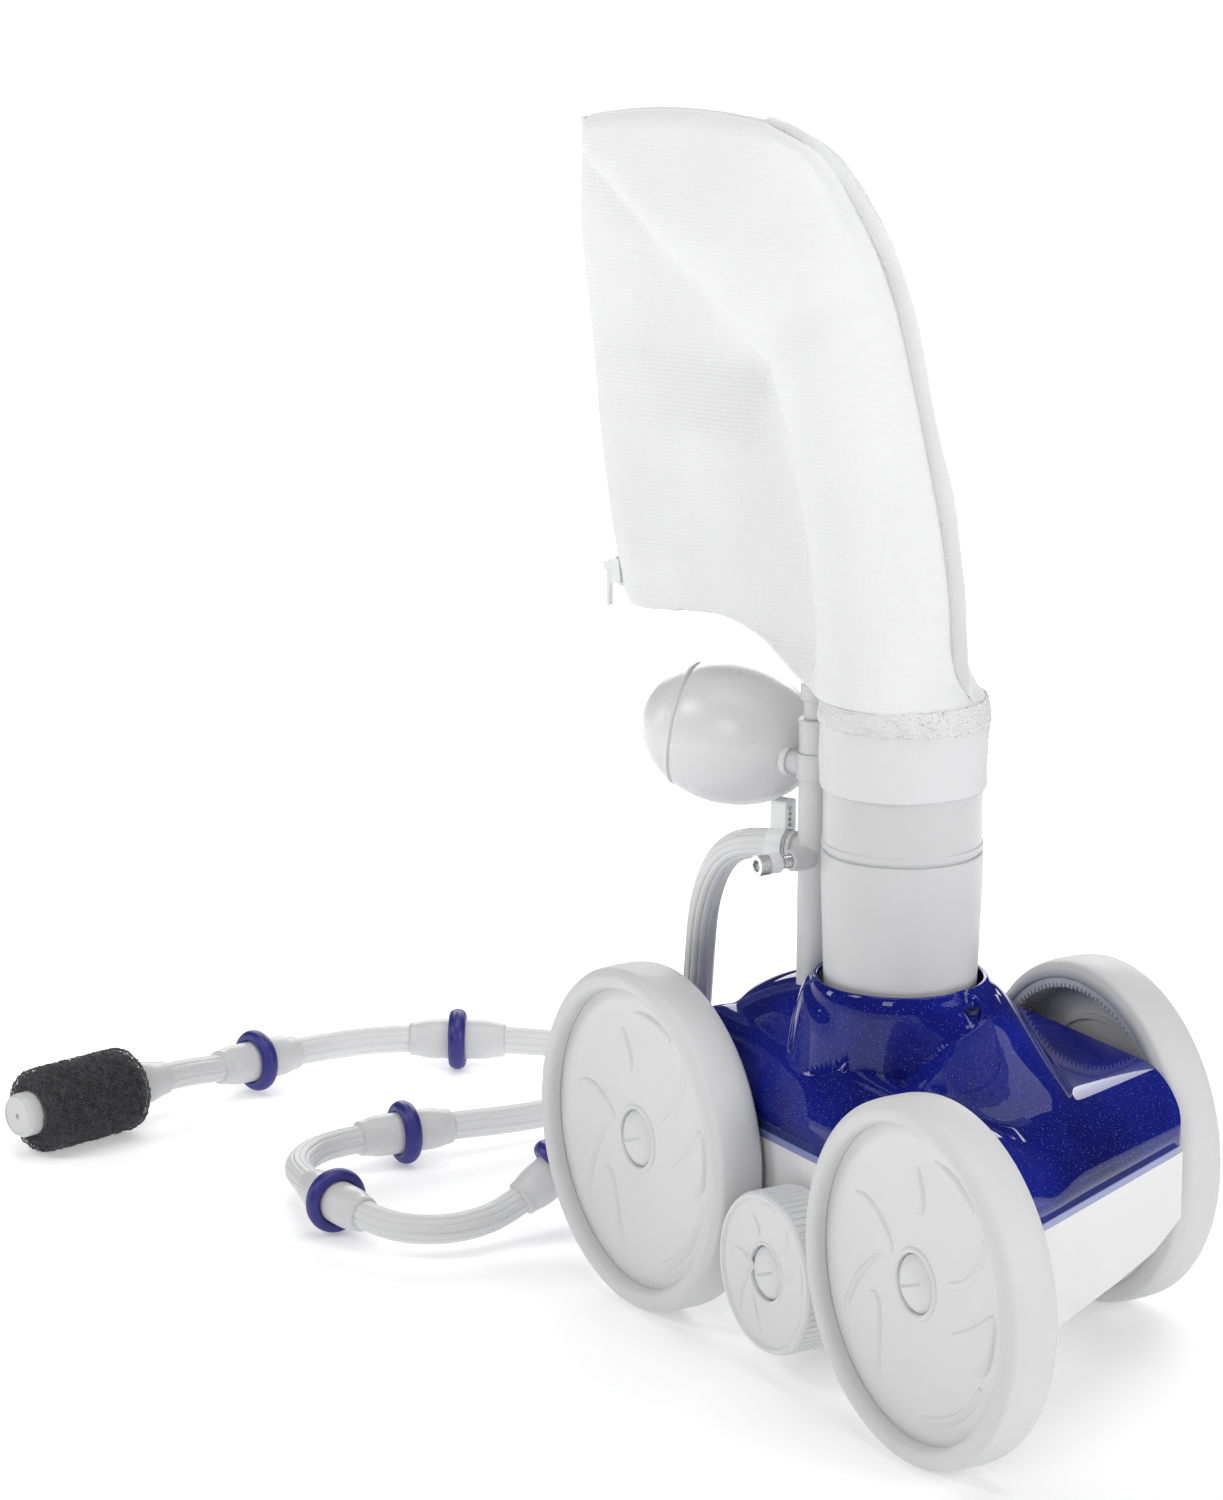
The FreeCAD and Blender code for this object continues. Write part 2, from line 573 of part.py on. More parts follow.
FITTING_NECK_R, FITTING_FLANGE_R = 5.4, 7.0
CLAMP_R, CLAMP_START, CLAMP_WIDTH = 8.6, 1.0, 8.5
CLAMP_EAR_THICK, NEAR_EAR_HEIGHT, FAR_EAR_HEIGHT = 3.0, 15.0, 12.0


def hose_fitting():
    pipe = at(FEED_S, 0)
    neck = cylinder(FITTING_NECK_R, at(FEED_S + 3, HOSE_OUT_Z), at(HOSE_OUT_S, HOSE_OUT_Z))
    flange = cylinder(FITTING_FLANGE_R, at(HOSE_OUT_S - 3, HOSE_OUT_Z), at(HOSE_OUT_S, HOSE_OUT_Z))
    made = fused(neck, flange)
    return made.cut(cylinder(FEED_R, pipe + V(0, 0, 180), pipe + V(0, 0, 260)))


def hose_clamp():
    near_end = HOSE_OUT_S + CLAMP_START
    start, end = at(near_end, HOSE_OUT_Z), at(near_end + CLAMP_WIDTH, HOSE_OUT_Z)
    band = cylinder(CLAMP_R, start, end)
    middle = at(near_end + CLAMP_WIDTH / 2, HOSE_OUT_Z + 14)
    near_ear = box_about(middle - ACROSS * 4.4, CLAMP_WIDTH, CLAMP_EAR_THICK, NEAR_EAR_HEIGHT)
    far_ear = box_about(middle + ACROSS * 2.0, CLAMP_WIDTH, CLAMP_EAR_THICK, FAR_EAR_HEIGHT)
    hook = box_about(middle + V(0, 0, 5.5) - ACROSS * 1.5, CLAMP_WIDTH, 8.0, 2.4)
    made = fused(band, near_ear, far_ear, hook)
    return made.cut(cylinder(HOSE_R, start - REAR * 2, end + REAR * 2))


def adjusting_screw():
    shank = cylinder(SCREW_R, screw_point(-47.5), screw_point(-68))
    head = cylinder(SCREW_HEAD_R, screw_point(-67), screw_point(-72.5))
    made = fused(shank, head)
    across = SCREW_SOCKET / math.cos(math.pi / 6) / 2
    corners = [screw_point(-69.5) + V(across * math.cos(math.radians(60 * k)), 0,
                                      across * math.sin(math.radians(60 * k))) for k in range(6)]
    return made.cut(prism(corners, V(0, -5, 0)))


def screw_bush():
    return ring(SCREW_BUSH_R, SCREW_R, screw_point(-61), screw_point(-66.9))


# ---- water works inside -------------------------------------------------------------
JET_Z = 46.0                        # height of the jets, and of the middle of their water ring
JET_RING_R, JET_RING_HALF = 42.0, 5.0
JET_R, JET_BORE_R = 2.5, 1.2


def socket_block():
    return cylinder(THRUST_SOCKET_R, THRUST + V(THRUST_SOCKET_FRONT, 0, 0),
                    THRUST - V(THRUST_SOCKET_REAR, 0, 0))


def jet_nozzles(r):
    made = []
    for degrees in (80, 200, 320):
        way = V(math.cos(math.radians(degrees)), math.sin(math.radians(degrees)), 0)
        middle = V(TUBE_X, TUBE_Y, JET_Z)
        made.append(cylinder(r, middle + way * 37, middle + way * (TUBE_BORE_R - 4)))
    return made


def venturi_jets():
    """A water ring round the throat with three jets that reach through the tube's wall."""
    foot = V(TUBE_X, TUBE_Y, 0)
    up = V(0, 0, 1)
    low, top = foot + up * (JET_Z - JET_RING_HALF), foot + up * (JET_Z + JET_RING_HALF)
    body = fused(ring(JET_RING_R, TUBE_LOW_R + 0.05, low, top), *jet_nozzles(JET_R))
    for nozzle in jet_nozzles(JET_BORE_R):
        body = body.cut(nozzle)
    return body


BRANCH_X, BRANCH_Z, BRANCH_R, BRANCH_BORE_R = -62.0, 110.0, 6.0, 4.0
MAIN_SOCKET_R, MAIN_SOCKET_LOW_Z, MAIN_SOCKET_TOP_Z = 11.0, 103.0, 130.0
DOWN_PIPE_X, DOWN_PIPE_Y, DOWN_PIPE_R = -55.5, -42.5, 3.2
TAIL_R = 4.5


def water_manifold():
    up = V(0, 0, 1)
    feed = at(FEED_S, 0)
    socket = cylinder(MAIN_SOCKET_R, feed + up * MAIN_SOCKET_LOW_Z, feed + up * MAIN_SOCKET_TOP_Z)
    branch = cylinder(BRANCH_R, V(BRANCH_X, -40, BRANCH_Z), V(BRANCH_X, 17, BRANCH_Z))
    riser = cylinder(DOWN_PIPE_R, V(DOWN_PIPE_X, DOWN_PIPE_Y, JET_Z + JET_RING_HALF),
                     V(DOWN_PIPE_X, DOWN_PIPE_Y, BRANCH_Z - 4))
    tail = cylinder(TAIL_R, V(BRANCH_X, THRUST.y, BRANCH_Z), THRUST + V(14, 0, 0.5))
    made = fused(socket, branch, riser, tail)
    made = made.cut(cylinder(FEED_R, feed + up * FEED_FOOT_Z, feed + up * 140))
    made = made.cut(cylinder(FEED_BORE_R, feed + up * (MAIN_SOCKET_LOW_Z + 2), feed + up * FEED_FOOT_Z))
    made = made.cut(cylinder(BRANCH_BORE_R, V(BRANCH_X, -38, BRANCH_Z), V(BRANCH_X, 18, BRANCH_Z)))
    return made.cut(socket_block())


ROTOR_Y, ROTOR_WIDTH, ROTOR_R = 20.5, 20.0, 22.0
HUB_R, BLADE_COUNT, BLADE_THICK = 8.0, 10, 1.8
TURBINE_R, TURBINE_BORE_R, TURBINE_WALL = 27.0, 24.0, 2.4
TURBINE_LOW_Y, TURBINE_HIGH_Y = 17.0, 43.0


def turbine_wall(y):
    """A flat wall with a hole for the shaft."""
    start = V(SHAFT_X, y, SHAFT_Z)
    return ring(TURBINE_R, SHAFT_R + 0.5, start, start + V(0, TURBINE_WALL, 0))


def turbine_housing():
    cup = ring(TURBINE_R, TURBINE_BORE_R, V(SHAFT_X, TURBINE_LOW_Y, SHAFT_Z),
               V(SHAFT_X, TURBINE_HIGH_Y, SHAFT_Z))
    inlet = cylinder(BRANCH_BORE_R, V(BRANCH_X, TURBINE_LOW_Y - 1, BRANCH_Z),
                     V(BRANCH_X, TURBINE_LOW_Y + 3, BRANCH_Z))
    return fused(cup, turbine_wall(TURBINE_LOW_Y)).cut(inlet)


def turbine_rotor():
    hub = ring(HUB_R, SHAFT_R, V(SHAFT_X, ROTOR_Y, SHAFT_Z), V(SHAFT_X, ROTOR_Y + ROTOR_WIDTH, SHAFT_Z))
    blades = []
    for k in range(BLADE_COUNT):
        blade = box((HUB_R - 1.5, ROTOR_Y, -BLADE_THICK / 2),
                    (ROTOR_R, ROTOR_Y + ROTOR_WIDTH, BLADE_THICK / 2))
        blade = blade.common(cylinder(ROTOR_R, V(0, ROTOR_Y, 0), V(0, ROTOR_Y + ROTOR_WIDTH, 0)))
        blade.rotate(V(0, 0, 0), V(0, 1, 0), 360 * k / BLADE_COUNT)
        blade.translate(V(SHAFT_X, 0, SHAFT_Z))
        blades.append(blade)
    return fused(hub, *blades)


SHAFT_END_Y = 92.6


def drive_shaft():
    return cylinder(SHAFT_R, V(SHAFT_X, -SHAFT_END_Y, SHAFT_Z), V(SHAFT_X, SHAFT_END_Y, SHAFT_Z))


def shaft_bushes():
    places = [(NEAR_Y - 0.6, NEAR_Y + HOUSING_WALL + 1.5), (FAR_Y - HOUSING_WALL - 1.5, FAR_Y + 0.6)]
    return Part.makeCompound([ring(BUSH_R, SHAFT_R + RUNNING, V(SHAFT_X, a, SHAFT_Z),
                                   V(SHAFT_X, b, SHAFT_Z))
                              for a, b in places])


TRUNNION_R, TRUNNION_REACH = 1.5, 11.5
BALL_R, BALL_SEAT_R = 9.0, 9.3
SPOUT_R, SPOUT_TIP_R, SPOUT_LENGTH, SPOUT_BORE_R = 5.0, 3.8, 24.0, 2.2


def thrust_socket():
    body = socket_block()
    side = V(0, THRUST_SOCKET_R + 1, 0)
    body = body.cut(cylinder(TRUNNION_R + RUNNING, THRUST - side, THRUST + side))
    body = body.cut(Part.makeSphere(BALL_SEAT_R, THRUST))
    body = body.cut(cylinder(8.25, THRUST, THRUST - V(10, 0, 0)))
    return body.cut(cylinder(3.5, THRUST, THRUST + V(14, 0, 0)))


def thrust_nozzle():
    """The jet that pushes the cleaner along, tilting on two short trunnions."""
    ball = Part.makeSphere(BALL_R, THRUST)
    spout = Part.makeCone(SPOUT_R, SPOUT_TIP_R, SPOUT_LENGTH, THRUST, V(-1, 0, 0))
    side = V(0, TRUNNION_REACH, 0)
    made = fused(ball, spout, cylinder(TRUNNION_R, THRUST - side, THRUST + side))
    return made.cut(cylinder(SPOUT_BORE_R, THRUST + V(12, 0, 0), THRUST - V(SPOUT_LENGTH + 2, 0, 0)))


# ---- wheels -------------------------------------------------------------------------
def mesh_angle(centre):
    """Direction from a wheel's axle to the drive shaft, in the X-Z plane."""
    return math.atan2(SHAFT_Z - centre.z, SHAFT_X - centre.x)


def in_plane(points, centre, y):
    return [V(centre.x + x, y, centre.z + z) for x, z in points]


# depths below the tyre's outer face
WEB_BACK, RIB_BACK, BEARING_SEAT, HUB_BACK, RIM_BACK = 10.8, 12.4, 14.0, 22.0, 26.0
HUB_BORE_R, HUB_OUTER_R, SCREW_WELL_R = 7.0, 16.0, 13.4


def wheel_disc(centre, inward):
    out = V(1, 0, 0)
    web = [(HUB_BORE_R, 8.5), (SCREW_WELL_R, 8.5), (SCREW_WELL_R, 6.8), (40, 7.2), (TYRE_BORE_R, WEB_DEPTH),
           (TYRE_BORE_R, WEB_BACK), (53, WEB_BACK), (53, RIB_BACK), (50.5, RIB_BACK), (50.5, WEB_BACK),
           (34, WEB_BACK), (34, RIB_BACK), (31.5, RIB_BACK), (31.5, WEB_BACK), (HUB_OUTER_R, WEB_BACK),
           (HUB_OUTER_R, HUB_BACK), (BEARING_R, HUB_BACK), (BEARING_R, BEARING_SEAT), (HUB_BORE_R,
                                                                                       BEARING_SEAT)]
    disc = turned(web, centre, inward, out)
    pitch = GEAR_MODULE * RING_TEETH / 2
    half_step = math.pi / RING_TEETH
    teeth = gear_outline(RING_TEETH, pitch - TOOTH_ADDENDUM, pitch + TOOTH_DEDENDUM, RING_TOOTH,
                         mesh_angle(centre) + half_step)
    start, end = centre + inward * WEB_BACK, centre + inward * RIM_BACK
    rim = cylinder(TYRE_BORE_R, start, end)
    space = prism(in_plane(teeth, centre, start.y), inward * (RIM_BACK - WEB_BACK))
    return disc.fuse(rim.cut(space))


def tyre(centre, inward):
    profile = [(TYRE_BORE_R, WEB_DEPTH), (TYRE_LIP_R, WEB_DEPTH), (TYRE_LIP_R, 2.0), (70.2, 0.9),
               (71.6, 0.2),
               (73.5, 0.0), (75.6, 0.5), (77.6, 1.7), (79.1, 3.6), (79.8, 5.8), (WHEEL_R, 8.0),
               (WHEEL_R, 20.0), (79.6, 22.2), (78.4, 24.4), (76.6, 26.0), (74.4, WHEEL_WIDTH),
               (TYRE_BORE_R, WHEEL_WIDTH)]
    return turned(profile, centre, inward, V(1, 0, 0))


SHIELD_IN_R, SHIELD_OUT_R, SHIELD_DEPTH = 6.6, 9.5, 0.5


def bearing(face, inward):
    """A ball bearing, drawn as one ring with a groove on each side for its shields."""
    bore, far = AXLE_R + RUNNING, BEARING_WIDTH
    near_groove = [(SHIELD_IN_R, 0), (SHIELD_IN_R + 0.3, SHIELD_DEPTH), (SHIELD_OUT_R - 0.3, SHIELD_DEPTH),
                   (SHIELD_OUT_R, 0)]
    far_groove = [(r, far - depth) for r, depth in reversed(near_groove)]
    profile = [(bore, 0)] + near_groove + [(BEARING_R, 0), (BEARING_R, far)] + far_groove + [(bore, far)]
    return turned(profile, face, inward, V(1, 0, 0))


WHEEL_SCREW_HEAD_R, WHEEL_SCREW_TOP, WHEEL_SCREW_SEAT = 13.0, 3.2, 8.1
WHEEL_SCREW_NEAR_REACH, WHEEL_SCREW_FAR_REACH = 43.5, 45.5
SHOULDER_R, SHOULDER_LENGTH = 6.5, 5.6
SLOT_HALF_LENGTH, SLOT_HALF_WIDTH, SLOT_DEPTH, SLOT_TURN = 8.5, 0.6, 1.0, -14


def wheel_screw(centre, inward, head_r, head_top, seat, reach):
    """A slotted screw with a wide domed head that also serves as the axle."""
    rise = seat - head_top
    profile = [(0, head_top), (head_r * 0.45, head_top + rise * 0.10),
               (head_r * 0.75, head_top + rise * 0.34),
               (head_r * 0.93, head_top + rise * 0.66), (head_r, seat - 0.6), (head_r,
                                                                               seat), (SHOULDER_R, seat),
               (SHOULDER_R, seat + SHOULDER_LENGTH), (AXLE_R, seat + SHOULDER_LENGTH), (AXLE_R,
                                                                                        reach), (0, reach)]
    screw = turned(profile, centre, inward, V(1, 0, 0))
    deep = head_top + SLOT_DEPTH
    low, high = sorted((centre.y, (centre + inward * deep).y))
    slot = box((centre.x - SLOT_HALF_LENGTH, low, centre.z - SLOT_HALF_WIDTH),
               (centre.x + SLOT_HALF_LENGTH, high, centre.z + SLOT_HALF_WIDTH))
    slot.rotate(centre, V(0, 1, 0), SLOT_TURN)
    return screw.cut(slot)


def wheel_screws():
    made = []
    for _, centre, inward in axle_places():
        reach = WHEEL_SCREW_NEAR_REACH if inward.y > 0 else WHEEL_SCREW_FAR_REACH
        made.append(wheel_screw(centre, inward, WHEEL_SCREW_HEAD_R, WHEEL_SCREW_TOP, WHEEL_SCREW_SEAT,
                                reach))
    return Part.makeCompound(made)


IDLER_CENTRE = V(0, IDLER_FACE_Y, IDLER_Z)
INWARD = V(0, 1, 0)
IDLER_BEARING_SEAT = 11.8           # depths below the idler's outer face, and its screw
IDLER_SCREW_HEAD_R, IDLER_SCREW_TOP, IDLER_SCREW_SEAT, IDLER_SCREW_REACH = 12.25, 1.4, 5.7, 38.4
TREAD_RIBS, TREAD_FLOOR_R, TREAD_START, TREAD_WIDTH = 64, 36.0, 3.0, 18.0


def idler_wheel():
    out = V(1, 0, 0)
    core = turned([(7, 6), (12.7, 6), (12.7, 2.4), (33, 2.0), (34.2, 0.6), (35.4, 0.6), (36.3, 1.8),
                   (36.3, 22.4), (35, 24), (31, 24), (31, 8), (16, 8), (16, 20), (BEARING_R, 20),
                   (BEARING_R, IDLER_BEARING_SEAT), (7, IDLER_BEARING_SEAT)], IDLER_CENTRE, INWARD, out)
    points = []
    for k in range(TREAD_RIBS):
        for share, radius in ((0.0, TREAD_FLOOR_R), (0.2, IDLER_R), (0.6, IDLER_R), (0.8, TREAD_FLOOR_R)):
            angle = 2 * math.pi * (k + share) / TREAD_RIBS
            points.append((radius * math.cos(angle), radius * math.sin(angle)))
    tread = prism(in_plane(points, IDLER_CENTRE, IDLER_FACE_Y + TREAD_START), V(0, TREAD_WIDTH, 0))
    tread = tread.cut(cylinder(34, IDLER_CENTRE, IDLER_CENTRE + V(0, 30, 0)))
    return core.fuse(tread)


PINION_WIDTH, PINION_RECESS = 11.0, 3.0
PINION_RECESS_OUT_R, PINION_RECESS_IN_R = 15.5, 9.0
REAR_PINION_Y, SIDE_PINION_Y = -92.0, 81.0


def pinion(y_low, centre):
    phase = mesh_angle(centre)
    pitch = GEAR_MODULE * PINION_TEETH / 2
    outline = gear_outline(PINION_TEETH, pitch + TOOTH_ADDENDUM, pitch - TOOTH_DEDENDUM, PINION_TOOTH,
                           phase)
    shaft = V(SHAFT_X, 0, SHAFT_Z)
    gear = prism(in_plane(outline, shaft, y_low), V(0, PINION_WIDTH, 0))
    past = V(SHAFT_X, y_low + PINION_WIDTH + 1, SHAFT_Z)
    recess_floor = V(SHAFT_X, y_low + PINION_WIDTH - PINION_RECESS, SHAFT_Z)
    gear = gear.cut(ring(PINION_RECESS_OUT_R, PINION_RECESS_IN_R, recess_floor, past))
    return gear.cut(cylinder(SHAFT_R, V(SHAFT_X, y_low - 1, SHAFT_Z), past))


# ---- sweep hose ---------------------------------------------------------------------
def hose_wire(route):
    points = [V(*p) for p in route]
    runs = [(b - a).Length for a, b in zip(points, points[1:])]
    edges, last = [], points[0]
    for i in range(1, len(points) - 1):
        back = (points[i - 1] - points[i]).normalize()
        on = (points[i + 1] - points[i]).normalize()
        turn = math.pi - back.getAngle(on)
        cut = 0.45 * min(runs[i - 1], runs[i])
        radius = cut / math.tan(turn / 2)
        print("bend %2d: turn %4.1f degrees, radius %5.1f mm" % (i, math.degrees(turn), radius))
        start, end = points[i] + back * cut, points[i] + on * cut
        to_centre = (back + on).normalize()
        middle = points[i] + to_centre * (radius / math.cos(turn / 2) - radius)
        edges.append(Part.LineSegment(last, start).toShape())
        edges.append(Part.Arc(start, middle, end).toShape())
        last = end
    edges.append(Part.LineSegment(last, points[-1]).toShape())
    return Part.Wire(edges)


def sweep_hose():
    wire = hose_wire(HOSE_ROUTE)
    start = V(*HOSE_ROUTE[0])
    way = (V(*HOSE_ROUTE[1]) - start).normalize()
    circle = Part.Wire([Part.makeCircle(HOSE_R, start, way)])
    tube = solid(wire.makePipeShell([circle], True, False))
    print("hose length %.1f mm, volume over section %.1f mm" %
          (wire.Length, tube.Volume / (math.pi * HOSE_R ** 2)))
    return tube


def ring_places():
    """Centre and direction of each wear ring, in order from the cleaner."""
    places = []
    for run, share in zip(RING_RUNS, RING_SHARES):
        a, b = V(*HOSE_ROUTE[run]), V(*HOSE_ROUTE[run + 1])
        places.append((a + (b - a) * share, (b - a).normalize()))
    return places


def square_to(way):
    return V(0, 0, 1).cross(way).normalize()


COLLAR_TAPER = [(8.3, 0), (8.8, 4), (9.9, 9), (COLLAR_R, 13)]     # radius, and how far in from the end


def hose_collars():
    half = COLLAR_LENGTH / 2
    outline = [(HOSE_R, -half)] + [(r, inset - half) for r, inset in COLLAR_TAPER]
    outline += [(r, half - inset) for r, inset in reversed(COLLAR_TAPER)] + [(HOSE_R, half)]
    return Part.makeCompound([turned(outline, centre, way, square_to(way)) for centre,
                              way in ring_places()])


def wear_rings():
    made = []
    w = WEAR_RING_WIDTH / 2
    for centre, way in ring_places():
        made.append(turned([(COLLAR_R, -w * 0.75), (COLLAR_R + 1.4, -w), (WEAR_RING_R - 2.2, -w * 0.95),
                            (WEAR_RING_R - 0.6, -w * 0.6), (WEAR_RING_R, 0), (WEAR_RING_R - 0.6, w * 0.6),
                            (WEAR_RING_R - 2.2, w * 0.95), (COLLAR_R + 1.4, w), (COLLAR_R, w * 0.75)],
                           centre, way, square_to(way)))
    return Part.makeCompound(made)


SCRUB_START = V(*HOSE_ROUTE[-1])
SCRUB_WAY = V(0.2190, -0.9757, 0).normalize()
SCRUB_NECK_LENGTH = 8.0
SCRUB_CAP_R, SCRUB_CAP_LENGTH, SCRUB_CAP_HOLE_R = 11.0, 8.6, 1.5


def scrubber_neck():
    side = square_to(SCRUB_WAY)
    return turned([(0, 0), (9.2, 0), (10.6, 3), (10.8, SCRUB_NECK_LENGTH), (0, SCRUB_NECK_LENGTH)],
                  SCRUB_START, SCRUB_WAY, side)


def scrubber_foam():
    side = square_to(SCRUB_WAY)
    a, b = SCRUB_NECK_LENGTH, SCRUB_NECK_LENGTH + SCRUBBER_LENGTH
    return turned([(0, a), (SCRUBBER_R - 5, a), (SCRUBBER_R - 1.4, a + 1.6), (SCRUBBER_R, a + 5),
                   (SCRUBBER_R, b - 5), (SCRUBBER_R - 1.4, b - 1.6), (SCRUBBER_R - 5, b), (0, b)],
                  SCRUB_START, SCRUB_WAY, side)


def scrubber_cap():
    side = square_to(SCRUB_WAY)
    near = SCRUB_NECK_LENGTH + SCRUBBER_LENGTH
    far = near + SCRUB_CAP_LENGTH
    return turned([(SCRUB_CAP_HOLE_R, near), (SCRUB_CAP_R, near), (SCRUB_CAP_R, far - 1.6),
                   (SCRUB_CAP_R - 1.4, far), (SCRUB_CAP_HOLE_R, far)], SCRUB_START, SCRUB_WAY, side)


# ---- the assembly -------------------------------------------------------------------
export("lower_housing", lower_housing())
export("top_cover", top_cover())
export("cover_screws", cover_screws())
export("vacuum_tube", vacuum_tube())
export("bag_collar", bag_collar())
export("bag_cuff", bag_cuff())
export("bag_elastic_band", bag_band())
export("debris_bag", bag())
export("bag_edge_seam", bag_seam())
export("zip_chain", zip_chain())
export("zip_slider", zip_slider())
export("zip_pull", zip_pull())
export("feed_pipe", feed_pipe())
export("feed_coupling", feed_coupling())
export("float_front", float_front())
export("float_rear", float_half(1))
export("float_arm", float_arm())
export("hose_fitting", hose_fitting())
export("hose_clamp", hose_clamp())
export("adjusting_screw", adjusting_screw())
export("screw_bush", screw_bush())
export("venturi_jets", venturi_jets())
export("water_manifold", water_manifold())
export("turbine_housing", turbine_housing())
export("turbine_cover", turbine_wall(TURBINE_HIGH_Y))
export("turbine_rotor", turbine_rotor())
export("drive_shaft", drive_shaft())
export("shaft_bushes", shaft_bushes())
export("thrust_jet_socket", thrust_socket())
export("thrust_jet_nozzle", thrust_nozzle())
for name, centre, inward in axle_places():
    export(name + "_wheel_disc", wheel_disc(centre, inward))
    export(name + "_tyre", tyre(centre, inward))
    export(name + "_wheel_bearing", bearing(centre + inward * BEARING_SEAT, inward))
export("wheel_screws", wheel_screws())
export("idler_wheel", idler_wheel())
export("idler_bearing", bearing(IDLER_CENTRE + INWARD * IDLER_BEARING_SEAT, INWARD))
export("idler_screw",
       wheel_screw(IDLER_CENTRE, INWARD, IDLER_SCREW_HEAD_R, IDLER_SCREW_TOP, IDLER_SCREW_SEAT,
                                  IDLER_SCREW_REACH))
places = {name: centre for name, centre, _ in axle_places()}
export("rear_drive_pinion", pinion(REAR_PINION_Y, places["rear"]))
export("side_drive_pinion", pinion(SIDE_PINION_Y, places["side"]))
export("sweep_hose", sweep_hose())
export("hose_collars", hose_collars())
export("wear_rings", wear_rings())
export("scrubber_neck", scrubber_neck())
export("scrubber_foam", scrubber_foam())
export("scrubber_cap", scrubber_cap())

os.makedirs("parts", exist_ok=True)
for name, shape in nodes.items():
    if not shape.isValid():
        print("NOT VALID", name)
    shape.exportStep("parts/%s.step" % name)
print(len(nodes), "nodes")
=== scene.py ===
"""Looks of the pool cleaner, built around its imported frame. Metres, in the frame's own axes."""
import random
from math import acos, atan2, cos, degrees, exp, hypot, pi, radians, sin, sqrt, tau

import bmesh
import bpy
from mathutils import Matrix, Vector, noise


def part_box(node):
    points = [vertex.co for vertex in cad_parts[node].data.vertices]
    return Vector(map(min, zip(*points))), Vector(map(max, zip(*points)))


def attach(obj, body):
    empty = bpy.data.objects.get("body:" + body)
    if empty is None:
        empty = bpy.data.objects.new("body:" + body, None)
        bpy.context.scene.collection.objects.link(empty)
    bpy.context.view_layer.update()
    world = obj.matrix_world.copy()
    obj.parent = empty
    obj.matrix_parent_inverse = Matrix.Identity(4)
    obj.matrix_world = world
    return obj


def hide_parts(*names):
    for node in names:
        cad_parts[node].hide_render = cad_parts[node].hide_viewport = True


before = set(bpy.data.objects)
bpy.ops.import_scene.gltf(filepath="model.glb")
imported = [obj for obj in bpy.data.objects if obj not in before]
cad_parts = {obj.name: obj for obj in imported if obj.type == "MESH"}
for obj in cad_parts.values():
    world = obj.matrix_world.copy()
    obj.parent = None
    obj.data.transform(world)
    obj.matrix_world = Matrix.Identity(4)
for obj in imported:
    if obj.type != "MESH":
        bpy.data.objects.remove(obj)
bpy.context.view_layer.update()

MM = 0.001
SPECK = 1e-6      # anything shorter counts as nothing
UP = Vector((0, 0, 1))
ALONG_X = Vector((1, 0, 0))
INWARD = Vector((0, 1, 0))
REAR = Vector((-0.8944, -0.4472, 0))      # plan direction of the feed pipe, float and bag
ACROSS = Vector((-0.4472, 0.8944, 0))     # square to it, away from the camera


def middle(node):
    low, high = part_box(node)
    return (low + high) / 2


TUBE = Vector((middle("vacuum_tube").x, middle("vacuum_tube").y, 0))


def at(s, z, across=0.0):
    """The point s millimetres behind the tube's axis, at height z, in metres."""
    return TUBE + REAR * (s * MM) + ACROSS * (across * MM) + UP * (z * MM)


def placed(name, data):
    """A new object, in the scene."""
    made = bpy.data.objects.new(name, data)
    bpy.context.scene.collection.objects.link(made)
    return made


def clamp(value, low=0.0, high=1.0):
    return min(max(value, low), high)


def spoke(side, other, turn):
    """The direction at an angle between two directions square to each other."""
    return side * cos(turn) + other * sin(turn)


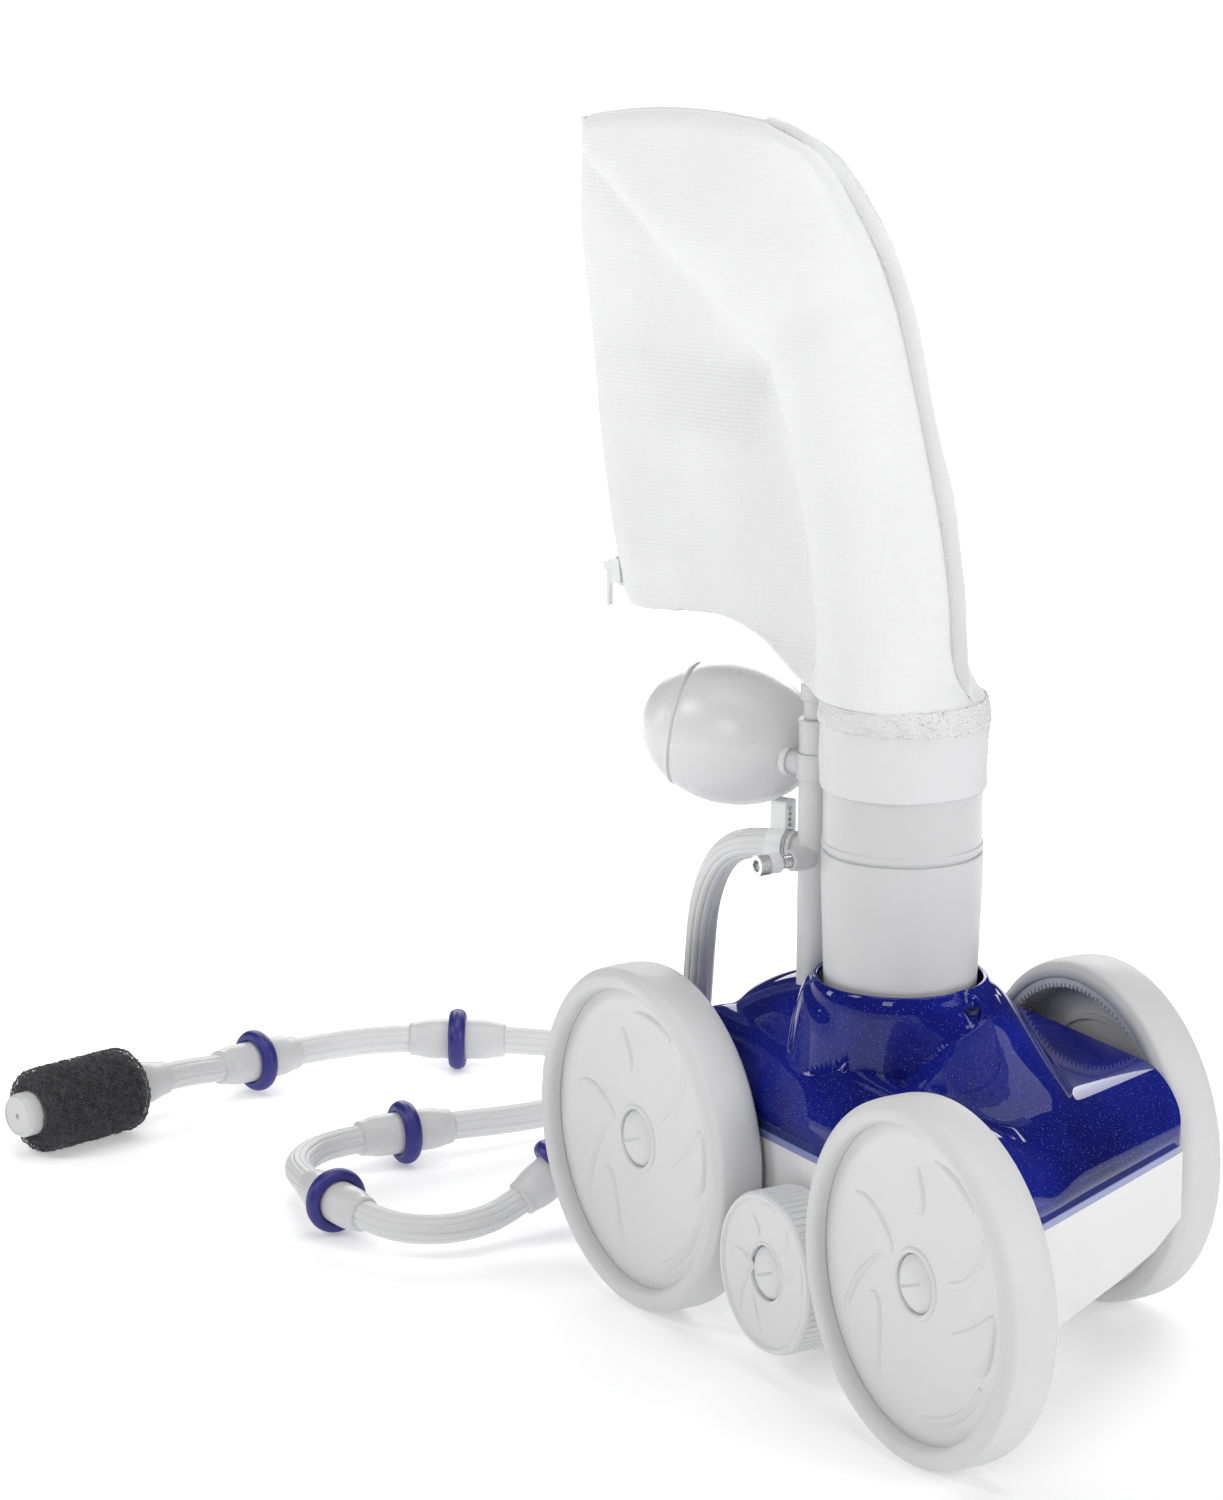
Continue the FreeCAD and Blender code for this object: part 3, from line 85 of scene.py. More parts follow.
# ---- materials ----
class Shader:
    """A Principled material with a few short ways to add procedural detail."""

    def __init__(self, name, color, roughness, **sockets):
        self.material = bpy.data.materials.new(name)
        self.material.use_nodes = True
        self.nodes = self.material.node_tree.nodes
        self.links = self.material.node_tree.links
        self.bsdf = self.nodes["Principled BSDF"]
        self.bsdf.inputs["Base Color"].default_value = (*color, 1)
        self.bsdf.inputs["Roughness"].default_value = roughness
        for socket, value in sockets.items():
            self.bsdf.inputs[socket.replace("_", " ")].default_value = value
        self.color = color
        self.where = self.nodes.new("ShaderNodeTexCoord").outputs["Object"]
        self.normal = None

    def node(self, kind, *sources, **values):
        """A new node; the sources feed its first sockets in order."""
        made = self.nodes.new("ShaderNode" + kind)
        for source, socket in zip(sources, made.inputs):
            self.links.new(source, socket)
        for key, value in values.items():
            if key in made.inputs:
                made.inputs[key].default_value = value
            else:
                setattr(made, key, value)
        return made

    def noise(self, scale, detail=3.0):
        return self.node("TexNoise", self.where, Scale=scale, Detail=detail, Roughness=0.5).outputs["Fac"]

    def ramp(self, source, stops):
        made = self.node("ValToRGB", source)
        elements = made.color_ramp.elements
        while len(elements) < len(stops):
            elements.new(0.5)
        for element, (place, color) in zip(elements, stops):
            element.position = place
            element.color = (*color, 1)
        return made.outputs["Color"]

    def vary(self, scale, amount, detail=4.0):
        """Lightens and darkens the base colour in soft patches."""
        low = tuple(c * (1 - amount) for c in self.color)
        high = tuple(min(1.0, c * (1 + amount)) for c in self.color)
        color = self.ramp(self.noise(scale, detail), [(0.3, low), (0.7, high)])
        self.links.new(color, self.bsdf.inputs["Base Color"])

    def vary_roughness(self, scale, low, high):
        source = self.ramp(self.noise(scale, 5.0), [(0.3, (low,) * 3), (0.7, (high,) * 3)])
        self.links.new(source, self.bsdf.inputs["Roughness"])

    def bump(self, height, distance, strength):
        made = self.node("Bump", Strength=strength, Distance=distance)
        self.links.new(height, made.inputs["Height"])
        if self.normal:
            self.links.new(self.normal, made.inputs["Normal"])
        self.normal = made.outputs["Normal"]
        self.links.new(self.normal, self.bsdf.inputs["Normal"])


def moulded(name, color, roughness, grain=1400, depth=0.00003, **sockets):
    """Moulded plastic: slight colour and gloss variation, fine grain and faint flow marks."""
    shader = Shader(name, color, roughness, **sockets)
    shader.vary(18, 0.012)
    shader.vary_roughness(60, roughness - 0.05, roughness + 0.07)
    shader.bump(shader.noise(35, 2.0), 0.00025, 0.25)
    shader.bump(shader.noise(grain, 2.0), depth, 0.5)
    return shader.material


# scale of the flake cells, the share of them left bare, and the flake's colour
FLAKES = [(2400, 0.965, (0.16, 0.22, 0.62)), (4200, 0.92, (0.06, 0.09, 0.45))]
FLAKE_SIZE = 0.42


def metallic_blue():
    """Clear-coated deep blue plastic with metal flakes under the gloss."""
    shader = Shader("cover_blue", (0.010, 0.014, 0.17), 0.35, Metallic=0.0, Specular_IOR_Level=0.0,
        Coat_Weight=1.0, Coat_Roughness=0.03, Coat_IOR=1.32)
    color = shader.ramp(shader.noise(14, 3.0), [(0.30, (0.004, 0.006, 0.085)), (0.72, (0.010, 0.018, 0.27))])
    for scale, bare, flake in FLAKES:
        cells = shader.node("TexVoronoi", shader.where, Scale=scale)
        parts = shader.node("SeparateColor", cells.outputs["Color"])
        chosen = shader.node("Math", parts.outputs["Red"], operation="GREATER_THAN")
        chosen.inputs[1].default_value = bare
        small = shader.node("Math", cells.outputs["Distance"], operation="LESS_THAN")
        small.inputs[1].default_value = FLAKE_SIZE
        both = shader.node("Math", chosen.outputs[0], small.outputs[0], operation="MULTIPLY")
        mixed = shader.node("Mix", both.outputs[0], data_type="RGBA")
        shader.links.new(color, mixed.inputs[6])
        mixed.inputs[7].default_value = (*flake, 1)
        color = mixed.outputs[2]
    shader.links.new(color, shader.bsdf.inputs["Base Color"])
    return shader.material


def mesh_cloth(name, color, pitch, depth):
    """Fine open-weave cloth: two crossed thread waves, with slubs and soft shading."""
    shader = Shader(name, color, 0.85, Sheen_Weight=0.25, Sheen_Roughness=0.5)
    shader.vary(22, 0.02)
    for axis, share in (("Z", 1.0), ("X", 0.5), ("Y", 0.5)):
        wave = shader.node("TexWave", shader.where, bands_direction=axis, Scale=0.314 / pitch,
            Distortion=0.8, Detail=1.0)
        wave.inputs["Detail Scale"].default_value = 0.4
        shader.bump(wave.outputs["Fac"], depth, share * 0.6)
    shader.bump(shader.noise(160, 4.0), 0.0004, 0.25)
    return shader.material


def steel():
    shader = Shader("bright_steel", (0.62, 0.62, 0.63), 0.22, Metallic=1.0)
    shader.vary_roughness(400, 0.16, 0.34)
    shader.bump(shader.noise(900, 3.0), 0.00003, 0.5)
    return shader.material


def foam_material(name, color):
    shader = Shader(name, color, 0.75)
    shader.vary(300, 0.5)
    shader.bump(shader.noise(2500, 3.0), 0.0001, 0.6)
    return shader.material


def white(name, level, roughness, **more):
    """White plastic with a trace of blue."""
    return moulded(name, (level, level, level + 0.005), roughness, **more)


WHITE = white("white_shell", 0.80, 0.34)
TUBE_WHITE = white("tube_white", 0.60, 0.34)
WHEEL = white("white_wheel", 0.71, 0.42, grain=900)
TYRE = moulded("white_tyre", (0.66, 0.66, 0.66), 0.52, grain=700, depth=0.00006)
FLOAT = white("float_white", 0.69, 0.30)
PIPE = white("pipe_white", 0.60, 0.36)
NYLON = moulded("nylon", (0.78, 0.79, 0.79), 0.38, Subsurface_Weight=0.15, Subsurface_Radius=(0.002,) * 3)
HOSE = white("hose_rubber", 0.70, 0.40, grain=1100)
COLLAR = white("collar_white", 0.64, 0.36)
WEAR = moulded("wear_blue", (0.022, 0.020, 0.20), 0.40, grain=500, depth=0.0001)
GREY = moulded("grey_plastic", (0.35, 0.36, 0.38), 0.45)
BLACK = moulded("black_plastic", (0.03, 0.03, 0.032), 0.45)
STEEL = steel()
BLUE = metallic_blue()
# painted shade: the cover screws are coloured near black so that their deep recesses read dark
SCREW_PAINTED_SHADE = moulded("screw_painted_shade", (0.006, 0.008, 0.05), 0.3)
EDGE_BLUE = moulded("cover_lip", (0.20, 0.24, 0.50), 0.15, Coat_Weight=1.0, Coat_Roughness=0.05)
MESH_CLOTH = mesh_cloth("bag_mesh", (0.77, 0.77, 0.775), 1.9 * MM, 0.00022)
CUFF_CLOTH = mesh_cloth("cuff_cloth", (0.70, 0.70, 0.705), 0.7 * MM, 0.00004)
FUZZ = mesh_cloth("band_fuzz", (0.77, 0.77, 0.77), 1.1 * MM, 0.0003)
TAPE = mesh_cloth("seam_tape", (0.78, 0.78, 0.785), 0.8 * MM, 0.0001)
FOAM = foam_material("foam_cells", (0.10, 0.10, 0.105))
# painted shade: a near-black copy of the foam, for the shade deep inside its open cells
FOAM_PAINTED_SHADE = foam_material("foam_painted_shade_core", (0.006, 0.006, 0.006))


# ---- mesh helpers ----
def piece(name, points, faces, material, *nodes, body="root", slot=None, angle=35):
    """A mesh object that rides on a body and stands for the nodes named."""
    mesh = bpy.data.meshes.new(name)
    mesh.from_pydata([tuple(p) for p in points], [], [tuple(f) for f in faces])
    mesh.materials.append(material)
    made = placed(name, mesh)
    turned = bmesh.new()
    turned.from_mesh(mesh)
    bmesh.ops.recalc_face_normals(turned, faces=turned.faces)
    turned.to_mesh(mesh)
    turned.free()
    shade(mesh, angle)
    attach(made, body)
    if nodes:
        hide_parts(*nodes)
    return made


def shade(mesh, angle):
    mesh.polygons.foreach_set("use_smooth", [True] * len(mesh.polygons))
    mesh.set_sharp_from_angle(angle=radians(angle))
    mesh.update()


def weld(made):
    """Joins points that lie on each other."""
    joined = bmesh.new()
    joined.from_mesh(made.data)
    bmesh.ops.remove_doubles(joined, verts=joined.verts, dist=SPECK)
    joined.to_mesh(made.data)
    joined.free()


def thicken(made, wall):
    """Gives a shell its wall, inward, in millimetres."""
    solid = made.modifiers.new("wall", "SOLIDIFY")
    solid.thickness = wall * MM
    solid.offset = -1


def grid_faces(rows, columns, wrap_rows=False, wrap_columns=False):
    faces = []
    for i in range(rows if wrap_rows else rows - 1):
        for j in range(columns if wrap_columns else columns - 1):
            k, m = (i + 1) % rows, (j + 1) % columns
            faces.append([i * columns + j, i * columns + m, k * columns + m, k * columns + j])
    return faces


def moved(faces, first):
    """The faces, for points that start at number first."""
    return [[i + first for i in face] for face in faces]


def rounded(outline, radius, closed=True, steps=4):
    """The outline with each corner drawn as a short curve."""
    points = [Vector(p) for p in outline]
    made = []
    for i, p in enumerate(points):
        if not closed and i in (0, len(points) - 1):
            made.append(p)
            continue
        before, after = points[i - 1] - p, points[(i + 1) % len(points)] - p
        start = p + before * min(0.5, radius / max(before.length, 1e-9))
        end = p + after * min(0.5, radius / max(after.length, 1e-9))
        for step in range(steps + 1):
            t = step / steps
            made.append(start * (1 - t) ** 2 + p * 2 * t * (1 - t) + end * t * t)
    return made


def lathe_mesh(outline, origin, axis, closed, segments):
    """Rings about the axis through origin; the outline is (radius, distance) in millimetres."""
    axis = axis.normalized()
    side = axis.orthogonal().normalized()
    other = axis.cross(side)
    points = []
    for r, a in outline:
        for k in range(segments):
            turn = tau * k / segments
            points.append(origin + axis * (a * MM) + spoke(side, other, turn) * (r * MM))
    return points, grid_faces(len(outline), segments, wrap_rows=closed, wrap_columns=True)


def lathe(name, outline, origin, axis, material, *nodes, body="root", closed=True, segments=72, soft=0.0):
    """A turned piece; soft is how far, in millimetres, its corners are rounded."""
    if soft:
        outline = rounded(outline, soft, closed)
    points, faces = lathe_mesh(outline, origin, axis, closed, segments)
    made = piece(name, points, faces, material, *nodes, body=body)
    if any(r < SPECK for r, _ in outline):
        weld(made)
    return made


def block(name, origin, x_way, z_way, low, high, bevel, material, *nodes, body="root", slot=None):
    """A rounded block in its own axes, in millimetres from origin."""
    x_way, z_way = x_way.normalized(), z_way.normalized()
    y_way = z_way.cross(x_way)
    shape = bmesh.new()
    bmesh.ops.create_cube(shape, size=1.0)
    low, high = Vector(low), Vector(high)
    for v in shape.verts:
        local = Vector((low[i] + (v.co[i] + 0.5) * (high[i] - low[i]) for i in range(3)))
        v.co = local
    bmesh.ops.bevel(shape, geom=shape.edges[:], offset=bevel, segments=4, profile=0.5, affect="EDGES")
    points = [origin + (x_way * v.co.x + y_way * v.co.y + z_way * v.co.z) * MM for v in shape.verts]
    faces = [[v.index for v in f.verts] for f in shape.faces]
    shape.free()
    return piece(name, points, faces, material, *nodes, body=body, slot=slot)


def sweep(path, radius_at, sides):
    """Rings square to the path; radius_at(distance along, angle) in metres."""
    points, distance = [], 0.0
    side = UP
    for i, p in enumerate(path):
        way = (path[min(i + 1, len(path) - 1)] - path[max(i - 1, 0)]).normalized()
        side = (side - way * side.dot(way)).normalized()
        other = way.cross(side)
        if i:
            distance += (p - path[i - 1]).length
        for k in range(sides):
            turn = tau * k / sides
            points.append(p + spoke(side, other, turn) * radius_at(distance, turn))
    faces = grid_faces(len(path), sides, wrap_columns=True)
    faces.append(list(range(sides))[::-1])
    faces.append([len(points) - sides + k for k in range(sides)])
    return points, faces


def running_length(path):
    """The distance along a path to each of its points."""
    lengths = [0.0]
    for a, b in zip(path, path[1:]):
        lengths.append(lengths[-1] + (b - a).length)
    return lengths


def smooth_line(points, steps):
    """A smooth line through the points, by Catmull-Rom spans."""
    points = [Vector(p) for p in points]
    ends = [points[0] * 2 - points[1], *points, points[-1] * 2 - points[-2]]
    made = []
    for a, b, c, d in zip(ends, ends[1:], ends[2:], ends[3:]):
        for k in range(steps):
            t = k / steps
            made.append((b * 2 + (c - a) * t + (a * 2 - b * 5 + c * 4 - d) * t * t
                + (b * 3 - a - c * 3 + d) * t ** 3) * 0.5)
    return made + [points[-1]]


def between(value, table):
    """Smoothly interpolates the second column of a table at a value of the first."""
    xs, ys = zip(*table)
    if value <= xs[0]:
        return ys[0]
    if value >= xs[-1]:
        return ys[-1]
    i = max(k for k in range(len(xs) - 1) if xs[k] <= value)
    slopes = []
    for k in (i, i + 1):
        low, high = max(k - 1, 0), min(k + 1, len(xs) - 1)
        slopes.append((ys[high] - ys[low]) / (xs[high] - xs[low]))
    width = xs[i + 1] - xs[i]
    t = (value - xs[i]) / width
    return ((2 * t ** 3 - 3 * t * t + 1) * ys[i] + (t ** 3 - 2 * t * t + t) * width * slopes[0]
        + (3 * t * t - 2 * t ** 3) * ys[i + 1] + (t ** 3 - t * t) * width * slopes[1])


# ---- the camera ----
def add_camera():
    data = bpy.data.cameras.new("camera")
    data.lens = 131.89
    data.sensor_width = 36.0
    camera = placed("camera", data)
    right = Vector((0.51404, 0.85776, 0.00290))
    up = Vector((-0.21243, 0.12403, 0.96927))
    forward = Vector((-0.83104, 0.49886, -0.24597))
    turn = Matrix((right, up, -forward)).transposed()
    camera.matrix_world = Matrix.Translation((1.92657, -1.33740, 0.86841)) @ turn.to_4x4()
    bpy.context.scene.camera = camera


# ---- sweep hose ----
HOSE_ROUTE = [(-69.0, -45.5, 221.5), (-87, -54.5, 221.5), (-107, -58, 211), (-127, -55, 185),
    (-139, -50, 150), (-153, -43, 117), (-175, -34, 92), (-198, -36, 73),
    (-211, -56, 52), (-217, -104, 16.5), (-210, -136, 14), (-223, -161, 14),
    (-249, -170, 16.1), (-299, -171, 16.1), (-332, -161, 15), (-350, -132, 16.1),
    (-343, -68, 16.1), (-341, -28, 14), (-344, 9, 14), (-362, 43, 14), (-397, 64, 14),
    (-431, 58, 14), (-452, 31, 16.1), (-486, -22, 16.1), (-495, -50, 14.5),
    (-490, -77, 16.1), (-483, -127, 16.9), (-472.2, -151.6, 21.8), (-466.5, -177, 21.8)]
# the run of the route that each collar is on, and how far along it
COLLAR_PLACES = [(8, 0.48), (12, 0.44), (15, 0.6), (22, 0.47), (25, 0.5)]
COLLAR_STEPS = 60
COLLAR_HALF = 25
RING_HALF = 4.4
HOSE_R = 7.0 * MM
FLUTES = 12


def spline_points(route):
    """Points read from the route's own NURBS spline."""
    curve = bpy.data.curves.new("hose_line", "CURVE")
    curve.dimensions = "3D"
    curve.resolution_u = 14
    spline = curve.splines.new("NURBS")
    spline.points.add(len(route) - 1)
    for point, place in zip(spline.points, route):
        point.co = (place[0] * MM, place[1] * MM, place[2] * MM, 1)
    spline.order_u = 3
    spline.use_endpoint_u = True
    holder = bpy.data.objects.new("hose_line", curve)
    mesh = bpy.data.meshes.new_from_object(holder)
    points = [v.co.copy() for v in mesh.vertices]
    bpy.data.objects.remove(holder)
    bpy.data.curves.remove(curve)
    bpy.data.meshes.remove(mesh)
    return points


def stretch_of(path, centre, half):
    """The part of the path within half of the point nearest to centre, with even steps."""
    nearest = min(range(len(path)), key=lambda i: (path[i] - centre).length)
    lengths = running_length(path)
    made = []
    for k in range(COLLAR_STEPS + 1):
        want = lengths[nearest] + half * (2 * k / COLLAR_STEPS - 1)
        i = max(j for j in range(len(path) - 1) if lengths[j] <= want)
        made.append(path[i].lerp(path[i + 1], (want - lengths[i]) / (lengths[i + 1] - lengths[i])))
    return made


# distance along a collar from its middle, and its radius
COLLAR_OUTLINE = [(-25, 7.6), (-24.4, 8.5), (-21, 8.9), (-17, 9.8), (-13, 10.2), (-8, 10.25), (8, 10.25),
    (13, 10.2), (17, 9.8), (21, 8.9), (24.4, 8.5), (25, 7.6)]


def build_hose():
    path = spline_points(HOSE_ROUTE)

    def fluted(_, turn):
        return HOSE_R * (0.93 + 0.07 * abs(cos(turn * FLUTES / 2)) ** 0.45)

    def collar_radius(distance, _):
        return between(distance / MM - COLLAR_HALF, COLLAR_OUTLINE) * MM

    points, faces = sweep(path, fluted, FLUTES * 10)
    hose = piece("hose", points, faces, HOSE, "sweep_hose", angle=60)
    rings, w, mid = [], RING_HALF, COLLAR_STEPS // 2
    for number, (run, share) in enumerate(COLLAR_PLACES, 1):
        a, b = Vector(HOSE_ROUTE[run]) * MM, Vector(HOSE_ROUTE[run + 1]) * MM
        along = stretch_of(path, a.lerp(b, share), COLLAR_HALF * MM)
        points, faces = sweep(along, collar_radius, 72)
        collar = piece("hose_collar_%d" % number, points, faces, COLLAR, angle=50)
        way = (along[mid + 2] - along[mid - 2]).normalized()
        ring = lathe("wear_ring_%d" % number,
            [(10.0, -w * 0.6), (11.4, -w), (13.6, -w), (15.3, -w * 0.6), (15.95, 0),
            (15.3, w * 0.6), (13.6, w), (11.4, w), (10.0, w * 0.6)],
            along[mid], way, WEAR, segments=96, soft=1.6)
        rings += [collar, ring]
    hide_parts("hose_collars")
    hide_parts("wear_rings")
    return hose, path, rings


SCRUB_WAY = Vector((0.2190, -0.9757, 0)).normalized()
SCRUB_R = 21.7
SCRUB_START_A, SCRUB_END_A = 8.0, 71.0
FOAM_BORE, FOAM_CORNER, FOAM_CELL = 9.5, 6.0, 1.35
FOAM_COLUMNS = 100


def foam_outline(inset):
    """Radius and distance along the foam roll's rounded skin, cell by cell."""
    r, a, b, corner = SCRUB_R - inset, SCRUB_START_A + inset, SCRUB_END_A - inset, FOAM_CORNER
    skin = [(FOAM_BORE + k * FOAM_CELL, a) for k in range(int((r - corner - FOAM_BORE) / FOAM_CELL))]
    skin += [(r - corner + corner * sin(t), a + corner - corner * cos(t))
        for t in (pi / 2 * k / 7 for k in range(8))]
    skin += [(r, a + corner + (b - a - 2 * corner) * k / 38) for k in range(1, 38)]
    back = [(q, a + b - d) for q, d in skin[:-37]]
    return skin + back[::-1]


def foam_shell(name, inset, seed, strand):
    """One layer of the open-cell net: a jittered grid of fine strands."""
    rng = random.Random(seed)
    start = Vector(HOSE_ROUTE[-1]) * MM
    side = SCRUB_WAY.orthogonal().normalized()
    other = SCRUB_WAY.cross(side)
    outline = foam_outline(inset)
    points = []
    for i, (r, a) in enumerate(outline):
        for k in range(FOAM_COLUMNS):
            turn = tau * (k + 0.5 * (i % 2) + rng.uniform(-0.32, 0.32)) / FOAM_COLUMNS
            r_here, a_here = r - rng.uniform(0, 1.3), a + rng.uniform(-0.5, 0.5)
            points.append(start + SCRUB_WAY * (a_here * MM) + spoke(side, other, turn) * (r_here * MM))
    faces = grid_faces(len(outline), FOAM_COLUMNS, wrap_columns=True)
    net = piece(name, points, faces, FOAM, angle=180)
    wires = net.modifiers.new("strands", "WIREFRAME")
    wires.thickness = strand * MM
    wires.use_even_offset = False
    return net


def build_scrubber():
    start = Vector(HOSE_ROUTE[-1]) * MM
    nets = [foam_shell("foam_net_outer", 0.3, 5, 0.42), foam_shell("foam_net_inner", 1.7, 6, 0.5)]
    r = SCRUB_R - 3.2
    # painted shade: a near-black core under the strand nets, for the dark depths of the foam roll
    core = lathe("foam_painted_shade_core", [(9, 10.5), (r - 4, 10.5), (r, 14.5), (r, 64.5), (r - 4, 68.5), (9, 68.5)],
        start, SCRUB_WAY, FOAM_PAINTED_SHADE, segments=96, soft=2.0)
    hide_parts("scrubber_foam")
    neck = lathe("hose_end_sleeve",
        [(0.01, -15), (8.3, -15), (8.9, -10), (10.6, -3), (11.0, 1), (11.0, 10), (0.01, 10)],
        start, SCRUB_WAY, COLLAR, "scrubber_neck", segments=96, soft=0.8)
    cap = lathe("scrubber_end_cap",
        [(0.01, 68), (11, 68), (11, 77.2), (9.7, 79.5), (8.9, 79.5), (8.6, 79.0), (1.5, 79.0),
        (1.3, 77.6), (0.01, 77.6)], start, SCRUB_WAY, COLLAR, "scrubber_cap", segments=96, soft=0.35)
    return [*nets, core, neck, cap]


# ---- cover ----
# the cover's plan is a trapezium, longer on the two-wheel side
SEAM_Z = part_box("lower_housing")[1].z / MM
NEAR_Y, FAR_Y = -76.0, 74.0
NEAR_HALF_LENGTH, FAR_FRONT_X, FAR_REAR_X = 142.6, 68.9, -107.0
FLANGE = 3.6
COVER_COLUMNS, LIP_COLUMNS = 720, 400
NECK_R = 36.5
NECK_BAND = 18.0      # width of the fine rows round the neck
NECK_ROWS, LID_ROWS = 30, 120
COVER_WALL = 2.2
END_REACH, SIDE_REACH = 34, 26       # how far in the lid goes on rising from its edges
LID_TOP, LID_RISE = 131, 9           # its height along the far edge, and how much higher the near one is
HUMP_TOP, HUMP_Y = 166.5, -33


def front_x(y):
    return NEAR_HALF_LENGTH + (y - NEAR_Y) / (FAR_Y - NEAR_Y) * (FAR_FRONT_X - NEAR_HALF_LENGTH)


def rear_x(y):
    return -NEAR_HALF_LENGTH + (y - NEAR_Y) / (FAR_Y - NEAR_Y) * (FAR_REAR_X + NEAR_HALF_LENGTH)


def smooth_max(a, b, blend):
    return (a + b + sqrt((a - b) ** 2 + blend ** 2)) / 2


def edge_rise(distance, reach):
    """A quarter round, from 0 at an edge to 1 at reach."""
    return sqrt(1 - (1 - clamp(distance / reach)) ** 2)


# how far out from the neck's bore, and the height there
NECK_SLOPE = [(0, 169.4), (0.8, 170.5), (2.0, 170.6), (3.2, 168.5), (4.2, 164), (5.5, 150), (7, 120),
    (8, 100)]
SCREW_DIMPLE = (25.0, -12.0)
DIMPLE_REACH = 12


def screw_dimple(x, y):
    """Depth of the round recess over the front cover screw, with its raised rim."""
    away = hypot(x - SCREW_DIMPLE[0], y - SCREW_DIMPLE[1])
    if away > DIMPLE_REACH:
        return 0.0
    return 3.4 / (1 + exp((away - 4.6) * 5)) - 0.7 * exp(-((away - 5.6) / 0.7) ** 2)


# the pod that bulges from the neck: compass direction from the tube, and its reach from the tube's axis
POD_REACH = [(-180, 46), (-150, 49), (-121, 50), (-95, 48), (-70, 43.5), (-45, 41.5), (-20, 44), (8, 54),
    (30, 51), (59, 46), (90, 44), (150, 42), (180, 46)]
POD_TOP, POD_DROP = 169, 34
# along the spine: x, the ridge line's y and height, and the y where its near foot lies
SPINE = [(-10, 14, 170, -12), (8, 9, 168, -26), (28, 3, 163, -36), (50, -1, 154, -40), (75, -5, 143, -38),
    (95, -11, 132, -32), (106, -16, 122, -28), (122, -20, 100, -24)]
SPINE_REAR, SPINE_FRONT = -10, 120


def pod_height(x, y):
    """A rounded shoulder that hugs the tube and drops steeply to a crease at its foot."""
    dx, dy = x - TUBE.x / MM, y - TUBE.y / MM
    turn = degrees(atan2(dy, dx))
    reach = between(turn, POD_REACH)
    share = clamp((hypot(dx, dy) - NECK_R) / (reach - NECK_R), high=1.6)
    return POD_TOP - POD_DROP * share ** 3.4


def spine_height(x, y):
    """A fin that runs forward from the neck: a steep far side and a hollow near side."""
    if not SPINE_REAR <= x <= SPINE_FRONT:
        return 0.0
    ridge, top, foot = [between(x, [(row[0], row[column]) for row in SPINE]) for column in (1, 2, 3)]
    if y > ridge:
        return top - ((y - ridge) / 6.0) ** 1.7 * 2.2
    share = (ridge - y) / (ridge - foot)
    return top - (24 - 0.16 * max(x, 0)) * min(share, 1.8) ** 1.5


def cover_height(x, y):
    """Height of the cover's outer face: a crowned lid, a hump, a spine, a pod and the tube's neck."""
    rise = edge_rise(front_x(y) - x + 1, END_REACH) * edge_rise(x - rear_x(y) + 1, END_REACH)
    rise *= edge_rise(y - NEAR_Y + 1, SIDE_REACH)
    height = LID_TOP + LID_RISE * (FAR_Y - y) / (FAR_Y - NEAR_Y)
    if x > -30:
        height -= 7 * clamp((x + 30) / 60) * exp(-((y + 34) / 14) ** 2)
    if x < 0:
        along = clamp((-48 - x) / 90, high=1.3)
        hump = HUMP_TOP - 40 * along ** 1.7 - 30 * (abs(y - HUMP_Y) / 30) ** 2.2
        height = smooth_max(height, hump, 1.5)
    height = smooth_max(height, spine_height(x, y), 1.2)
    height = smooth_max(height, pod_height(x, y), 1.2)
    lid = SEAM_Z + FLANGE + (height - SEAM_Z - FLANGE) * rise
    away = hypot(x - TUBE.x / MM, y - TUBE.y / MM) - NECK_R
    return smooth_max(lid, between(away, NECK_SLOPE), 2.0) - screw_dimple(x, y)


def cover_outline(count):
    """Points of the plan outline, evenly spaced, with rounded corners."""
    corners = [(rear_x(NEAR_Y), NEAR_Y), (front_x(NEAR_Y), NEAR_Y), (front_x(FAR_Y), FAR_Y),
        (rear_x(FAR_Y), FAR_Y)]
    outline = rounded(corners, 5.0, steps=8)
    outline.append(outline[0])
    lengths = running_length(outline)
    made, i = [], 0
    for k in range(count):
        want = lengths[-1] * k / count
        while lengths[i + 1] < want:
            i += 1
        share = (want - lengths[i]) / max(lengths[i + 1] - lengths[i], 1e-9)
        made.append(outline[i].lerp(outline[i + 1], share))
    return made


def build_cover():
    """The lid in rings from the tube's neck out to its edge, with the pale lip under it."""
    centre = Vector((TUBE.x, TUBE.y)) / MM
    outline = cover_outline(COVER_COLUMNS)
    ways = [(edge - centre).normalized() for edge in outline]
    rings = [[centre + way * (NECK_R + NECK_BAND * (k / NECK_ROWS)) for way in ways]
        for k in range(NECK_ROWS + 1)]
    for k in range(1, LID_ROWS + 1):
        share = 1 - (1 - k / LID_ROWS) ** 1.4
        rings.append([start.lerp(edge, share) for start, edge in zip(rings[NECK_ROWS], outline)])
    points = [(p.x, p.y, cover_height(p.x, p.y)) for ring in rings for p in ring]
    flange = SEAM_Z + FLANGE
    points += [(*edge, clamp(p[2], flange, flange + 0.4)) for edge, p in zip(outline, points[-len(outline):])]
    faces = grid_faces(len(rings) + 1, len(outline), wrap_columns=True)
    cover = piece("cover_shell", [Vector(p) * MM for p in points], faces, BLUE, "top_cover", angle=40)
    thicken(cover, COVER_WALL)
    lip_outline = cover_outline(LIP_COLUMNS)
    lip = []
    for inset, z in ((0.3, flange), (-0.15, flange - 0.3), (-0.15, SEAM_Z + 0.3), (0.2, SEAM_Z),
            (3.0, SEAM_Z), (3.0, flange)):
        for p in lip_outline:
            way = (centre - p).normalized()
            lip.append(Vector((*(p + way * inset), z)) * MM)
    piece("cover_lip_strip", lip, grid_faces(6, LIP_COLUMNS, wrap_rows=True, wrap_columns=True), EDGE_BLUE)


